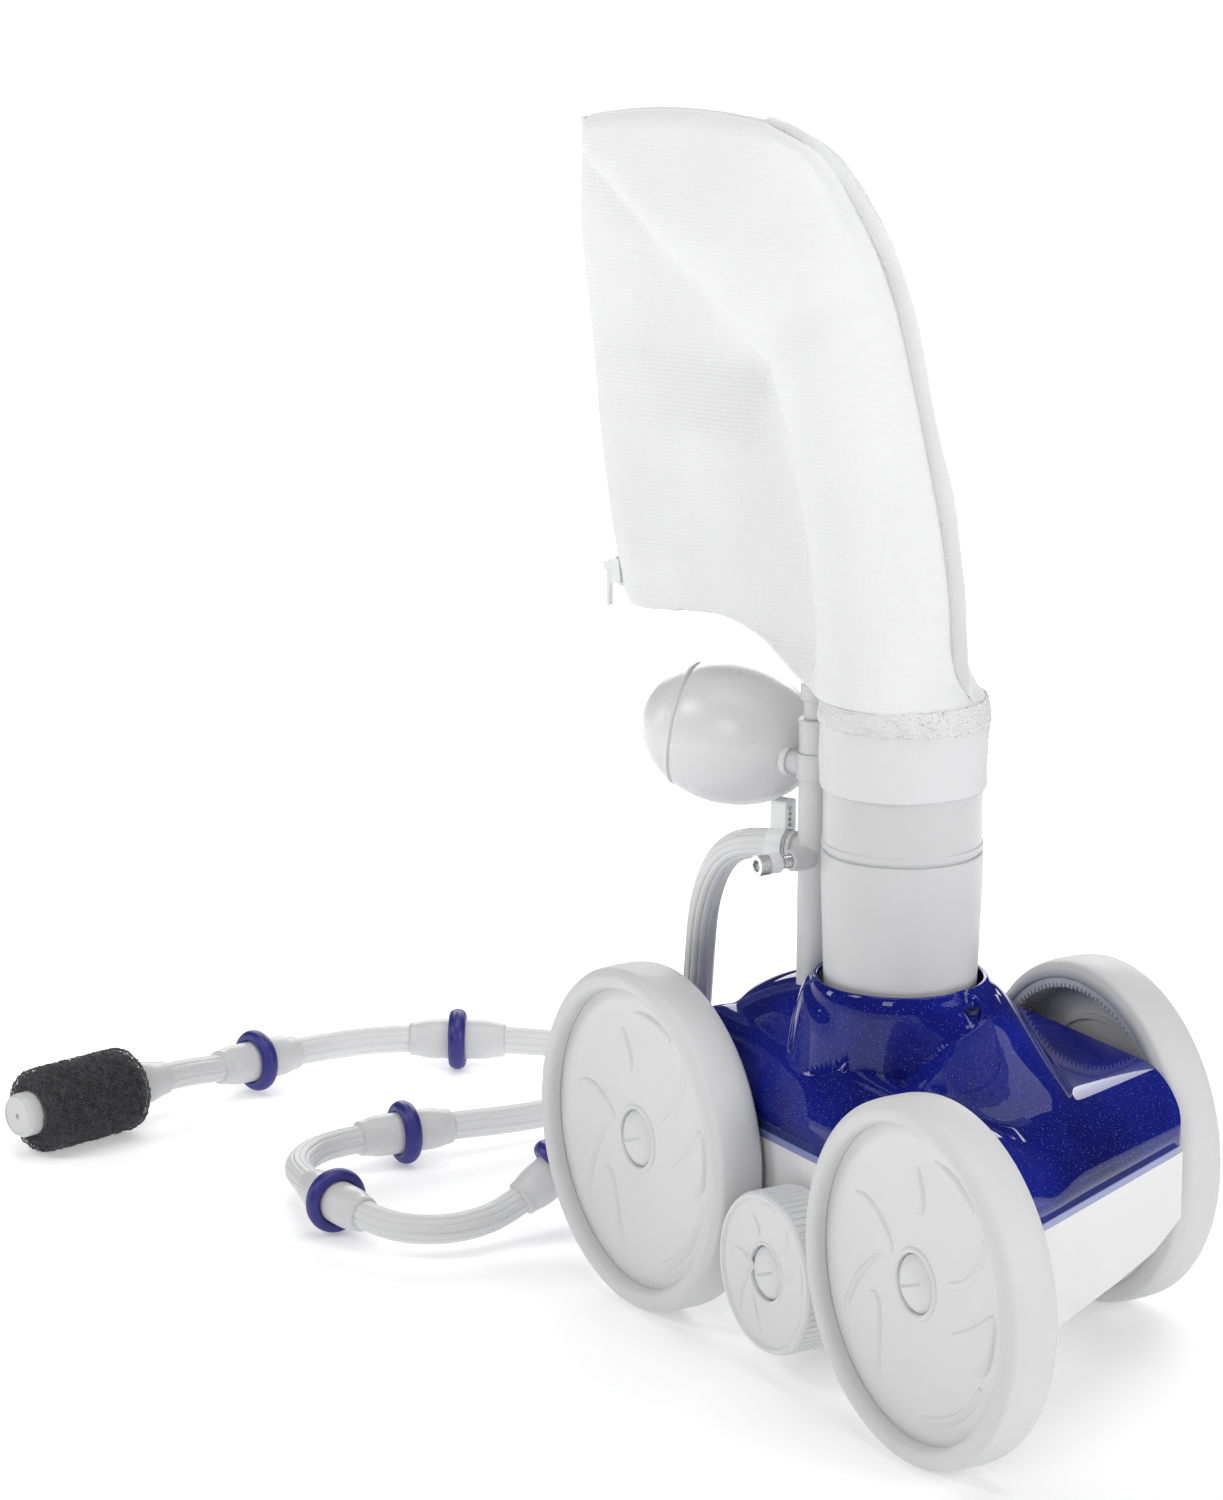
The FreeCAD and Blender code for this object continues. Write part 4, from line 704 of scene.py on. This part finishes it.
# ---- wheels ----
TYRE_OUTLINE = [(71.45, 7.6), (69.7, 7.6), (69.5, 2.2), (71.4, 0.1), (75.2, 0.1), (79.3, 3.4), (79.95, 9.0),
    (79.95, 19.5), (79.0, 24.0), (75.2, 26.7), (71.45, 26.7)]
# raised lines on a wheel's face: points ahead of the axle and above it
SWIRL_LINES = [
    [(-0.9, 51.9), (1.7, 48.1), (3.8, 42.8), (4.8, 37.2), (3.1, 31.9), (-1.4, 29.6)],
    [(-48, 27), (-39.6, 27.6), (-31.3, 24.7), (-23.9, 19.1), (-18.7, 13.4), (-18.3, 8.7), (-21.5, 5.9)],
    [(-21.5, 5.9), (-29.7, 2.3), (-38.8, -5.4), (-45.9, -14.3), (-50.9, -23.2), (-51.5, -27)],
    [(-35.5, -14.1), (-30.3, -13.3), (-27.1, -17.5), (-26.4, -26.4), (-26.9, -38.7), (-25.8, -51.8)],
    [(24.6, -15), (37.3, -9.8), (48.9, -2.5), (56.1, 3)],
    [(56.8, 2.9), (57.6, -3.3), (56, -13.2), (53.4, -20.6), (49.6, -24.8), (40.8, -26.7)],
    [(4.8, -58.3), (16.8, -55.5), (30.7, -49.2), (40.3, -40.9), (47.9, -31.3)],
    [(20.9, 7.3), (30.8, 9.7), (38.5, 14.3), (45.1, 21.6), (47.8, 27.7), (47.6, 33.5)],
    [(12, 57.5), (24, 55.5), (34, 50.5), (41, 44.5)],
]


def ridge(points, outward, width, height):
    """A moulded line: steep on one side, fading into the face on the other."""
    line = smooth_line(points, 6)
    steps = [(-0.35, -0.2), (-0.05, 0.9), (0.12, 1.0), (0.35, 0.62), (0.7, 0.22), (1.0, -0.15)]
    made = []
    for i, p in enumerate(line):
        way = (line[min(i + 1, len(line) - 1)] - line[max(i - 1, 0)]).normalized()
        side = way.cross(outward).normalized()
        fade = sin(pi * ((i + 0.3) / (len(line) - 0.4))) ** 0.5
        for across, rise in steps:
            level = rise * fade - 0.25 * (1 - fade)
            made.append(p + side * (across * width * MM) + outward * (level * height * MM))
    return made, grid_faces(len(line), len(steps))


def swirl(name, centre, outward, face, scale, phase, body, width=3.4, height=1.4):
    """Blade-shaped lines raised on a wheel's face, which is face millimetres out from centre."""
    side = ALONG_X if outward.y < 0 else -ALONG_X
    c, s = cos(radians(phase)), sin(radians(phase))
    points, faces = [], []
    for shape in SWIRL_LINES:
        line = []
        for ahead, above in shape:
            x, z = (ahead * c - above * s) * scale, (ahead * s + above * c) * scale
            line.append(centre + side * (x * MM) + UP * (z * MM) + outward * (face * MM))
        strip, strip_faces = ridge(line, outward, width, height)
        faces += moved(strip_faces, len(points))
        points += strip
    piece(name, points, faces, WHEEL, body=body, angle=50)


DOME_RINGS, DOME_COLUMNS = 26, 120
SLOT_TURN = radians(20)
SLOT_HALF, SLOT_DEPTH, SLOT_REACH = 0.55, 0.9, 0.52


def slotted_dome(name, centre, inward, radius, top, seat, *nodes):
    """A domed screw head with a slot, standing in the wheel's hub."""
    points = []
    for i in range(DOME_RINGS + 1):
        r = radius * sin(pi / 2 * i / DOME_RINGS)
        height = (seat - top) * (cos(pi / 2 * (r / radius) ** 1.25) ** 0.7)
        for k in range(DOME_COLUMNS):
            turn = tau * k / DOME_COLUMNS
            x, z = r * cos(turn), r * sin(turn)
            across = -x * sin(SLOT_TURN) + z * cos(SLOT_TURN)
            along = x * cos(SLOT_TURN) + z * sin(SLOT_TURN)
            groove = SLOT_DEPTH * exp(-(across / SLOT_HALF) ** 4) if abs(along) < radius * SLOT_REACH else 0
            level = height - groove
            points.append(centre + ALONG_X * (x * MM) + UP * (z * MM) + inward * ((seat - level) * MM))
    for r in (radius, radius * 0.5):
        for k in range(DOME_COLUMNS):
            turn = tau * k / DOME_COLUMNS
            points.append(centre + spoke(ALONG_X, UP, turn) * (r * MM) + inward * ((seat + 1.5) * MM))
    made = piece(name, points, grid_faces(DOME_RINGS + 3, DOME_COLUMNS, wrap_columns=True), WHEEL,
        *nodes, slot="white_screw", angle=30)
    weld(made)


def build_wheels():
    for name in ("front", "rear", "side"):
        low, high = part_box(name + "_tyre")
        near = name != "side"
        inward = INWARD if near else -INWARD
        centre = Vector(((low.x + high.x) / 2, low.y if near else high.y, (low.z + high.z) / 2))
        body = name + "_wheel"
        lathe(name + "_tyre_ring", TYRE_OUTLINE, centre, inward, TYRE, name + "_tyre", body=body, segments=256,
            soft=1.5)
        swirl(name + "_swirl", centre, -inward, -7.15, 1.0, 0 if name == "front" else 16, body)
        lathe(name + "_hub_ring",
            [(13.45, 8.0), (13.45, 6.2), (14.4, 5.6), (15.6, 6.1), (16.2, 7.0), (16.2, 8.0)],
            centre, inward, WHEEL, body=body, segments=120, soft=0.4)
        screw_nodes = ("wheel_screws",) if name == "front" else ()
        slotted_dome(name + "_hub_screw", centre, inward, 13.0, 3.2, 8.1, *screw_nodes)
    low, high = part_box("idler_wheel")
    centre = Vector(((low.x + high.x) / 2, low.y - 0.6 * MM, (low.z + high.z) / 2))
    swirl("idler_swirl", centre, -INWARD, -2.3, 0.53, 24, "idler", width=2.4, height=1.0)
    lathe("idler_hub_ring", [(12.5, 5.0), (12.5, 2.2), (13.1, 1.7), (14.0, 2.0), (14.6, 2.9), (14.6, 5.0)],
        centre, INWARD, WHEEL, body="idler", segments=120, soft=0.3)
    slotted_dome("idler_hub_screw", centre, INWARD, 12.1, 0.3, 4.4, "idler_screw")


# ---- tube, feed pipe, float and fittings ----
def build_tube():
    lathe("suction_tube",
        [(31.8, 20), (34, 20), (34, 165), (35.9, 214.5), (35.9, 228.4), (35.3, 229.0), (31.8, 229.0)],
        TUBE, UP, TUBE_WHITE, "vacuum_tube", segments=192, soft=0.6)
    lathe("collar_ring",
        [(31.8, 228.9), (34.7, 228.9), (34.7, 229.9), (35.8, 230.3), (35.9, 233.2), (35.3, 233.6),
        (35.3, 282), (34.9, 285), (31.8, 285)], TUBE, UP, TUBE_WHITE, "bag_collar", segments=192, soft=0.35)


PIPE_S = 45.3         # the feed pipe's axis behind the tube's
HOSE_EXIT_Z = 221.5
SCREW_FOOT_Y = -0.044
THREADS, PITCH = 8, 0.8


def build_feed():
    foot = at(PIPE_S, 0)
    lathe("feed_pipe_shell",
        [(4.7, 112), (7.2, 112), (7.2, 279.6), (7.7, 280.2), (7.7, 281.7), (7.2, 282), (4.7, 282)],
        foot, UP, PIPE, "feed_pipe", segments=96, soft=0.3)
    lathe("feed_coupling_tip",
        [(3.7, 282), (5.2, 282), (5.2, 290.4), (6.8, 291.0), (6.8, 297.4), (6.2, 298.2), (3.7, 298.2)],
        foot, UP, PIPE, "feed_coupling", segments=96, soft=0.3)
    screw = middle("adjusting_screw")
    base = Vector((screw.x, SCREW_FOOT_Y, screw.z))
    lathe("screw_boss", [(3.1, 0), (5.0, 0), (5.0, 10.4), (4.5, 11), (3.1, 11)], base, -INWARD, PIPE,
        soft=0.4)
    threads = [(2.2, 9)]
    for k in range(THREADS):
        threads += [(2.75, 11 + k * PITCH), (3.15, 11.4 + k * PITCH)]
    lathe("screw_threads", threads + [(2.2, 17.4)], base, -INWARD, STEEL, body="hose_screw", segments=60)


FLOAT_R, FLOAT_HALF_LENGTH, FLOAT_SEAM = 32.2, 41.5, 20.4
FLOAT_CENTRE = at(95, 266.3, 10)
FLOAT_WAY = (REAR * 0.959 - ACROSS * 0.248 + UP * 0.139).normalized()
FLOAT_ARM_Z = 260.5


def float_arc(start, end, steps):
    """Radius and distance along the float's oval, between two distances from its middle."""
    first, last = [acos(place / FLOAT_HALF_LENGTH) for place in (start, end)]
    angles = [first + (last - first) * k / steps for k in range(steps + 1)]
    return [(max(FLOAT_R * sin(a), 1e-7), FLOAT_HALF_LENGTH * cos(a)) for a in angles]


def build_float():
    seam_r = FLOAT_R * sqrt(1 - (FLOAT_SEAM / FLOAT_HALF_LENGTH) ** 2)
    front = float_arc(-FLOAT_HALF_LENGTH, FLOAT_SEAM - 0.9, 60)
    front += [(seam_r - 0.35, FLOAT_SEAM - 0.3), (seam_r - 0.5, FLOAT_SEAM)]
    lathe("float_front_shell", front, FLOAT_CENTRE, FLOAT_WAY, FLOAT, "float_front", closed=False,
        segments=144)
    rear = [(seam_r - 0.5, FLOAT_SEAM + 0.02), (seam_r - 0.2, FLOAT_SEAM + 0.3),
        (seam_r + 0.3, FLOAT_SEAM + 0.7), (seam_r + 0.2, FLOAT_SEAM + 1.4)]
    rear += float_arc(FLOAT_SEAM + 2.4, FLOAT_HALF_LENGTH, 36)
    lathe("float_rear_shell", rear, FLOAT_CENTRE, FLOAT_WAY, FLOAT, "float_rear", closed=False,
        segments=144)
    start = at(PIPE_S + 6.8, FLOAT_ARM_Z)
    lathe("float_stub", [(1e-7, 0), (5.1, 0), (5.1, 20), (1e-7, 20)], start, REAR, PIPE, "float_arm",
        soft=0.3)
    lathe("float_socket_ring", [(5.1, 5.5), (6.5, 5.5), (6.7, 7.2), (6.2, 9), (5.1, 9)], start, REAR, FLOAT, soft=0.5)
    low, high = FLOAT_ARM_Z - 6, FLOAT_ARM_Z + 6
    lathe("float_clip", [(7.2, low), (8.4, low), (8.4, high), (7.2, high)], at(PIPE_S, 0), UP, PIPE,
        soft=0.5)


def build_hose_joint():
    lathe("hose_barb", [(0.01, 0), (5.4, 0), (5.4, 3.8), (7.0, 4.3), (7.0, 6.4), (0.01, 6.4)],
        at(PIPE_S + 5, HOSE_EXIT_Z), REAR, PIPE, "hose_fitting", soft=0.4)
    foot = at(58, HOSE_EXIT_Z)
    lathe("clamp_band", [(7.1, 0), (8.6, 0), (8.6, 8.4), (7.1, 8.4)], foot, REAR, NYLON, "hose_clamp",
        soft=0.4)
    blocks = [("ear_near", (0, -6.2, 6.5), (8.4, -2.9, 20.5), 0.7),
        ("ear_far", (0, 0.4, 6.5), (8.4, 3.4, 19.8), 0.7), ("hook", (0.2, -5.6, 17.8), (8.2, 3.0, 20.4), 0.7)]
    blocks += [("tooth_%d" % k, (0.8, -2.9, 10 + k * 2.4), (7.6, 0.4, 11.1 + k * 2.4), 0.3) for k in range(3)]
    for name, low, high, bevel in blocks:
        block("clamp_" + name, foot, REAR, UP, low, high, bevel, NYLON)


# ---- bag ----
BAG_BODY = "debris_bag_body"
BAG_ROWS, BAG_COLUMNS = 150, 84
BAG_WALL = 0.5
BAG_FOOT_Z = 299
BAG_REAR_S = 165      # how far behind the tube's axis the bag reaches
CUFF_R = 36.9
CUFF_Z, CUFF_HEIGHT = 258.2, 30.3
BAND_Z, BAND_HEIGHT = 288.2, 10.6
# matching points of the bag's front stitch line and of its bottom and zip edges, level by level
FRONT_EDGE = [(-35.3, 298.5), (-31, 303), (-27, 309), (-24.3, 317), (-23, 327), (-22.4, 337), (-21.5, 347),
    (-18, 370), (-12, 397), (-2, 437), (10, 478), (27, 510), (46, 533), (74, 545.5)]
REAR_EDGE = [(36.9, 298.5), (47, 301.5), (59, 309), (74, 318.5), (94, 324.5), (117, 323.8), (141, 323.0),
    (147.6, 342), (153, 370), (159.5, 424), (164.5, 480), (165.4, 515), (165.2, 534),
    (164.4, 542), (160.5, 548.5)]
# half width and half depth of the filled column over the neck, and of the flat behind it, by height
COLUMN_WIDTH = [(299, 36.9), (312, 32.5), (330, 31), (400, 30.5), (430, 32), (460, 40), (490, 50),
    (530, 62)]
COLUMN_DEPTH = [(299, 36.9), (315, 35.5), (345, 34.5), (386, 33), (415, 31.5), (440, 28.5), (470, 25),
    (500, 20), (525, 13), (540, 6.5), (550, 2)]
PANEL_DEPTH = [(299, 30), (320, 9), (350, 10), (400, 13.5), (450, 15.5), (500, 12.5), (530, 8), (545, 4),
    (553, 1)]
# place, reach and depth of the hollows (-) and swells (+) in the flat of the bag
DENTS = [((106, 440), (26, 20), -4.5), ((96, 404), (42, 11), 3.0), ((128, 500), (34, 22), 2.5),
    ((120, 362), (30, 12), -1.5)]
CREASE = [Vector((68, 436)), Vector((58, 452)), Vector((38, 466)), Vector((12, 477))]


def near_line(point, line):
    """Distance from a point to a line of points, and how far along it is, from 0 to 1."""
    best = (1e9, 0.0)
    for i, (a, b) in enumerate(zip(line, line[1:])):
        t = clamp((point - a).dot(b - a) / (b - a).length_squared)
        best = min(best, ((point - a.lerp(b, t)).length, (i + t) / (len(line) - 1)))
    return best


def bag_depth(s, z, front, a, level):
    """Half thickness of the bag at one place of its middle plane."""
    width, depth = between(z, COLUMN_WIDTH), between(z, COLUMN_DEPTH)
    x = (s - front - width) / width
    column = depth * sqrt(max(0.0, 1 - x * x))
    if level < 1e-6:
        return column
    panel = between(z, PANEL_DEPTH) * (1 - 0.45 * max(0.0, (s - 60) / 106))
    panel *= edge_rise(s - front, 30)
    behind = clamp((s - front - 2 * width) / 45)
    upper = between(z, [(440, 0), (495, 1)])
    panel *= 1 - 0.55 * (1 - upper) * (1 - behind * behind * (3 - 2 * behind))
    for (dent_s, dent_z), (reach_s, reach_z), amount in DENTS:
        panel += amount * exp(-((s - dent_s) / reach_s) ** 2 - ((z - dent_z) / reach_z) ** 2)
    panel += (2.2 * noise.noise(Vector((s / 46, z / 64, 3.1)))
        + 0.9 * noise.noise(Vector((s / 19, z / 30, 7.7))))
    both = smooth_max(column, max(panel, 0.5), 7.0 + 17.0 * upper)
    closing = edge_rise((1 - a) * max(1.0, BAG_REAR_S - front), 13)
    away, along = near_line(Vector((s, z)), CREASE)
    crease = 5.0 * exp(-(away / 7.5) ** 2) * min(1.0, 1.8 * (1 - along))
    pucker = 0.45 * sin(z / 2.1 + 2 * noise.noise(Vector((z / 25, 0, 0)))) * exp(-(s - front) / 9)
    gather = 0.5 * sin(s / 1.9) * exp(-max(z - BAG_FOOT_Z, 0) / 12) * min(1.0, (z - BAG_FOOT_Z) / 4)
    blend_in = min(1.0, level * 6)
    plain, worn = both - crease, (both - crease + pucker + gather) * closing
    return max(0.0, plain * (1 - blend_in) + worn * blend_in)


def build_bag():
    """Two faces between the front and rear lines, as far out from the middle plane as bag_depth says."""
    front_line, rear_line = smooth_line(FRONT_EDGE, 12), smooth_line(REAR_EDGE, 12)
    points = []
    for i in range(BAG_ROWS + 1):
        level = i / BAG_ROWS
        place = level * (len(front_line) - 1)
        k = min(int(place), len(front_line) - 2)
        t = place - k
        front = front_line[k].lerp(front_line[k + 1], t)
        rear = rear_line[k].lerp(rear_line[k + 1], t)
        close_top = edge_rise(1 - level, 0.06)
        near, far = [], []
        for j in range(BAG_COLUMNS + 1):
            a = 0.5 - 0.5 * cos(pi * j / BAG_COLUMNS)
            p = front.lerp(rear, a)
            crown = 4.6 * 4 * a * (1 - a) * max(0.0, (level - 0.8) / 0.2) ** 2
            s, z = p.x, p.y + crown
            depth = bag_depth(s, z, front.x, a, level) * close_top + 0.35
            near.append(at(s, z, -depth))
            far.append(at(s, z, depth * 0.97))
        points += near + far[::-1]
    faces = grid_faces(BAG_ROWS + 1, 2 * (BAG_COLUMNS + 1), wrap_columns=True)
    bag = piece("bag_cloth", points, faces, MESH_CLOTH, "debris_bag", body=BAG_BODY, angle=180)
    thicken(bag, BAG_WALL)


FLAP_OUT = [(-33.5, 302), (-32.5, 312), (-30.5, 331), (-28.3, 357), (-24, 384), (-15.5, 415), (-7, 449),
    (-0.8, 473), (8.9, 495), (25, 518), (40, 534), (56, 543.5), (72, 548)]
FLAP_IN = [(-29.5, 303.5), (-24, 312), (-22.3, 331), (-20, 357), (-15, 383), (-7, 414), (1, 445),
    (8, 470), (16, 490), (31, 513), (45, 529), (60, 539.5), (76, 545)]
# from the flap's outer to its inner edge: share of its width, and half its thickness
FLAP_SECTION = [(0, 0.25), (0.15, 0.62), (0.5, 0.62), (0.85, 0.75), (1, 0.75)]
# the rows of stitches: share of the flap's width, and distance out from its middle plane
STITCH_ROWS = [(0.72, 0.8), (0.88, 0.9)]


def build_flap():
    """The sewn seam allowance along the bag's front edge, with its two rows of stitches."""
    outer, inner = smooth_line(FLAP_OUT, 10), smooth_line(FLAP_IN, 10)
    points = []
    for i, (a, b) in enumerate(zip(outer, inner)):
        wave = 0.5 * sin(i / 3.1) + 0.4 * noise.noise(Vector((i / 5, 0, 2)))
        for side, section in ((-1, FLAP_SECTION), (1, FLAP_SECTION[::-1])):
            for share, half in section:
                p = a.lerp(b, share)
                points.append(at(p.x, p.y, side * half + wave * (1 - share)))
    piece("bag_front_seam", points, grid_faces(len(outer), 2 * len(FLAP_SECTION), wrap_columns=True), TAPE,
        "bag_edge_seam", body=BAG_BODY, angle=60)
    stitch_points, stitch_faces = [], []
    for share, out in STITCH_ROWS:
        line = [a.lerp(b, share) for a, b in zip(outer, inner)]
        fine = smooth_line(line[::4], 16)
        for k in range(0, len(fine) - 3, 3):
            a, b = fine[k], fine[k + 2]
            for side in (-1, 1):
                start, end = at(a.x, a.y, side * out), at(b.x, b.y, side * out)
                hump = [start.lerp(end, t) + ACROSS * (side * 0.35 * MM * sin(pi * t))
                    for t in (0, 0.25, 0.5, 0.75, 1)]
                strip, strip_faces = sweep(hump, lambda d, t: 0.22 * MM, 6)
                stitch_faces += moved(strip_faces, len(stitch_points))
                stitch_points += strip
    piece("bag_seam_stitches", stitch_points, stitch_faces, TAPE, body=BAG_BODY)


def ring_cloth(name, rows, columns, radius_at, z_at, material, node, wall):
    """A band of cloth round the tube, from its lower edge, share 0, to its upper edge, share 1."""
    points = []
    for i in range(rows + 1):
        share = i / rows
        for k in range(columns):
            turn = tau * k / columns
            way = Vector((cos(turn), sin(turn), 0))
            points.append(TUBE + way * (radius_at(share, turn) * MM) + UP * (z_at(share, turn) * MM))
    made = piece(name, points, grid_faces(rows + 1, columns, wrap_columns=True), material, node, body=BAG_BODY,
        angle=180)
    thicken(made, wall)


def build_cuff():
    """The smooth cuff that grips the collar, and the terry band at its top."""
    def radius(share, turn):
        pucker = 0.35 * noise.noise(Vector((9 * cos(turn), 9 * sin(turn), share * 1.2))) * share
        slack = 0.5 * noise.noise(Vector((2.2 * cos(turn), 2.2 * sin(turn), share * 2 + 5)))
        fold = 1.1 * sin(7 * turn - 5.5 * share + 2 * noise.noise(Vector((turn, share, 4)))) ** 3
        return CUFF_R + 0.2 * share + pucker + (slack + fold * (1 - 0.5 * share)) * (0.3 + 0.7 * share)

    def height(share, turn):
        return CUFF_Z + CUFF_HEIGHT * share + 0.25 * (1 - share) * sin(2 * turn + 1)

    ring_cloth("cuff_cloth_ring", 40, 240, radius, height, CUFF_CLOTH, "bag_cuff", 0.8)

    def fuzzy(share, turn):
        point = Vector((70 * cos(turn), 70 * sin(turn), share * 22))
        loops = noise.noise(point) + 0.6 * noise.noise(point * 2.3)
        return CUFF_R - 1.5 * share + 0.45 * sin(pi * share) ** 0.5 + 0.45 * loops

    def band_height(share, turn):
        ragged = 0.5 * noise.noise(Vector((40 * cos(turn), 40 * sin(turn), share * 9 + 3)))
        return BAND_Z + BAND_HEIGHT * share + ragged

    ring_cloth("elastic_band_ring", 22, 620, fuzzy, band_height, FUZZ, "bag_elastic_band", 1.2)


ZIP_TEETH = 132
# a tooth's outline: distance out from the tape, and along it
TOOTH = [(0.9, 0.1), (2.4, 0.1), (3.3, 0.35), (3.3, 1.15), (2.4, 1.35), (0.9, 1.35)]


def build_zip():
    """The tape along the bag's rear edge, and teeth that reach over from each side in turn."""
    low, top = at(144.55, 330), at(166.3, 541)
    way = (top - low).normalized()
    out = ACROSS.cross(way)
    out = out if out.dot(REAR) > 0 else -out
    block("zip_tape", low, out, way, (0.0, -2.3, 0), (1.6, 2.3, (top - low).length / MM), 0.4, TAPE,
        "zip_chain", body=BAG_BODY, slot="zip")
    n = len(TOOTH)
    tooth_faces = [[i, (i + 1) % n, n + (i + 1) % n, n + i] for i in range(n)]
    tooth_faces += [list(range(n)), list(range(n, 2 * n))[::-1]]
    points, faces = [], []
    for k in range(ZIP_TEETH):
        side = 1 if k % 2 else -1
        base = low + way * ((top - low).length * (k + 0.2) / ZIP_TEETH)
        faces += moved(tooth_faces, len(points))
        for across in (-0.25 * side, 1.9 * side):
            points += [base + out * (o * MM) + ACROSS * (across * MM) + way * (w * MM) for o, w in TOOTH]
    piece("zip_teeth", points, faces, NYLON, body=BAG_BODY, slot="zip")


# ---- carried-over CAD nodes ----
NODE_MATERIALS = [
    (WHITE, "lower_housing screw_bush thrust_jet_nozzle"),
    (WHEEL, "idler_wheel front_wheel_disc rear_wheel_disc side_wheel_disc"),
    # painted shade: near-black cover screws, for the dark in their recesses
    (SCREW_PAINTED_SHADE, "cover_screws"),
    (NYLON, "zip_slider zip_pull"),
    (GREY, "venturi_jets water_manifold turbine_housing turbine_cover thrust_jet_socket"),
    (BLACK, "turbine_rotor shaft_bushes rear_drive_pinion side_drive_pinion"),
    (STEEL, "adjusting_screw drive_shaft idler_bearing front_wheel_bearing rear_wheel_bearing"
    " side_wheel_bearing"),
]


def dress_nodes():
    for material, names in NODE_MATERIALS:
        for name in names.split():
            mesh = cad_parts[name].data
            mesh.materials.clear()
            mesh.materials.append(material)
            shade(mesh, 30)


# ---- floor and light ----
# each soft box: name, place, what it points at, width and height, and watts
LIGHTS = [
    ("key", (-0.5, -2.0, 1.9), (-0.05, 0, 0.2), (0.6, 0.8), 14),
    ("top", (0.1, 0.1, 2.6), (0, 0, 0.1), (2.2, 2.2), 34),
    ("rear_left", (-1.7, 1.02, 0.86), (-0.02, 0.02, 0.13), (1.7, 0.8), 17),
    ("left_low", (-1.7, -1.7, 0.7), (0, 0, 0.15), (0.35, 0.7), 6),
    ("right", (2.2, 0.9, 1.1), (0, 0, 0.15), (1.0, 1.2), 24),
    ("front", (1.9, -2.3, 1.5), (0, 0, 0.2), (0.7, 1.0), 17),
]
FLOOR_HALF = 30.0
# the floor's painted glow, weakest next to the object and full far from it, which also lights the object from below:
# the distances it grows between, and its strength at each
PAINTED_GLOW = (0.30, 1.2, 0.27, 1.0)
WORLD_STRENGTH = 0.05


def area_light(name, place, aim, size, power):
    data = bpy.data.lights.new(name, "AREA")
    data.shape = "RECTANGLE"
    data.size, data.size_y = size
    data.energy = power
    lamp = placed(name, data)
    lamp.location = place
    lamp.rotation_mode = "QUATERNION"
    lamp.rotation_quaternion = (Vector(aim) - Vector(place)).to_track_quat("-Z", "Y")


def build_stage():
    """A white floor with a painted glow that brightens away from the object, under soft boxes."""
    mesh = bpy.data.meshes.new("floor")
    corners = ((-1, -1), (1, -1), (1, 1), (-1, 1))
    mesh.from_pydata([(x * FLOOR_HALF, y * FLOOR_HALF, 0) for x, y in corners], [], [(0, 1, 2, 3)])
    shader = Shader("floor_white", (0.90, 0.90, 0.905), 0.55, Specular_IOR_Level=0.1,
        Emission_Color=(1, 1, 1, 1))
    # painted light: the floor glows though it is no lamp, less near the object so that the shadows round it stay
    away = shader.node("VectorMath", shader.where, operation="LENGTH")
    glow = shader.node("MapRange", away.outputs["Value"], interpolation_type="SMOOTHSTEP")
    for place, value in enumerate(PAINTED_GLOW, 1):
        glow.inputs[place].default_value = value
    shader.links.new(glow.outputs["Result"], shader.bsdf.inputs["Emission Strength"])
    shader.vary(0.8, 0.004)
    mesh.materials.append(shader.material)
    placed("floor", mesh)
    world = bpy.data.worlds.new("studio")
    bpy.context.scene.world = world
    world.use_nodes = True
    background = world.node_tree.nodes["Background"]
    background.inputs["Color"].default_value = (1.0, 1.0, 1.0, 1)
    background.inputs["Strength"].default_value = WORLD_STRENGTH
    for lamp in LIGHTS:
        area_light(*lamp)
    scene = bpy.context.scene
    scene.view_settings.view_transform = "Standard"
    scene.view_settings.look = "None"


add_camera()
hose, hose_path, hose_pieces = build_hose()
scrubber_pieces = build_scrubber()
build_cover()
build_wheels()
build_tube()
build_feed()
build_float()
build_hose_joint()
build_bag()
build_flap()
build_cuff()
build_zip()
dress_nodes()
build_stage()
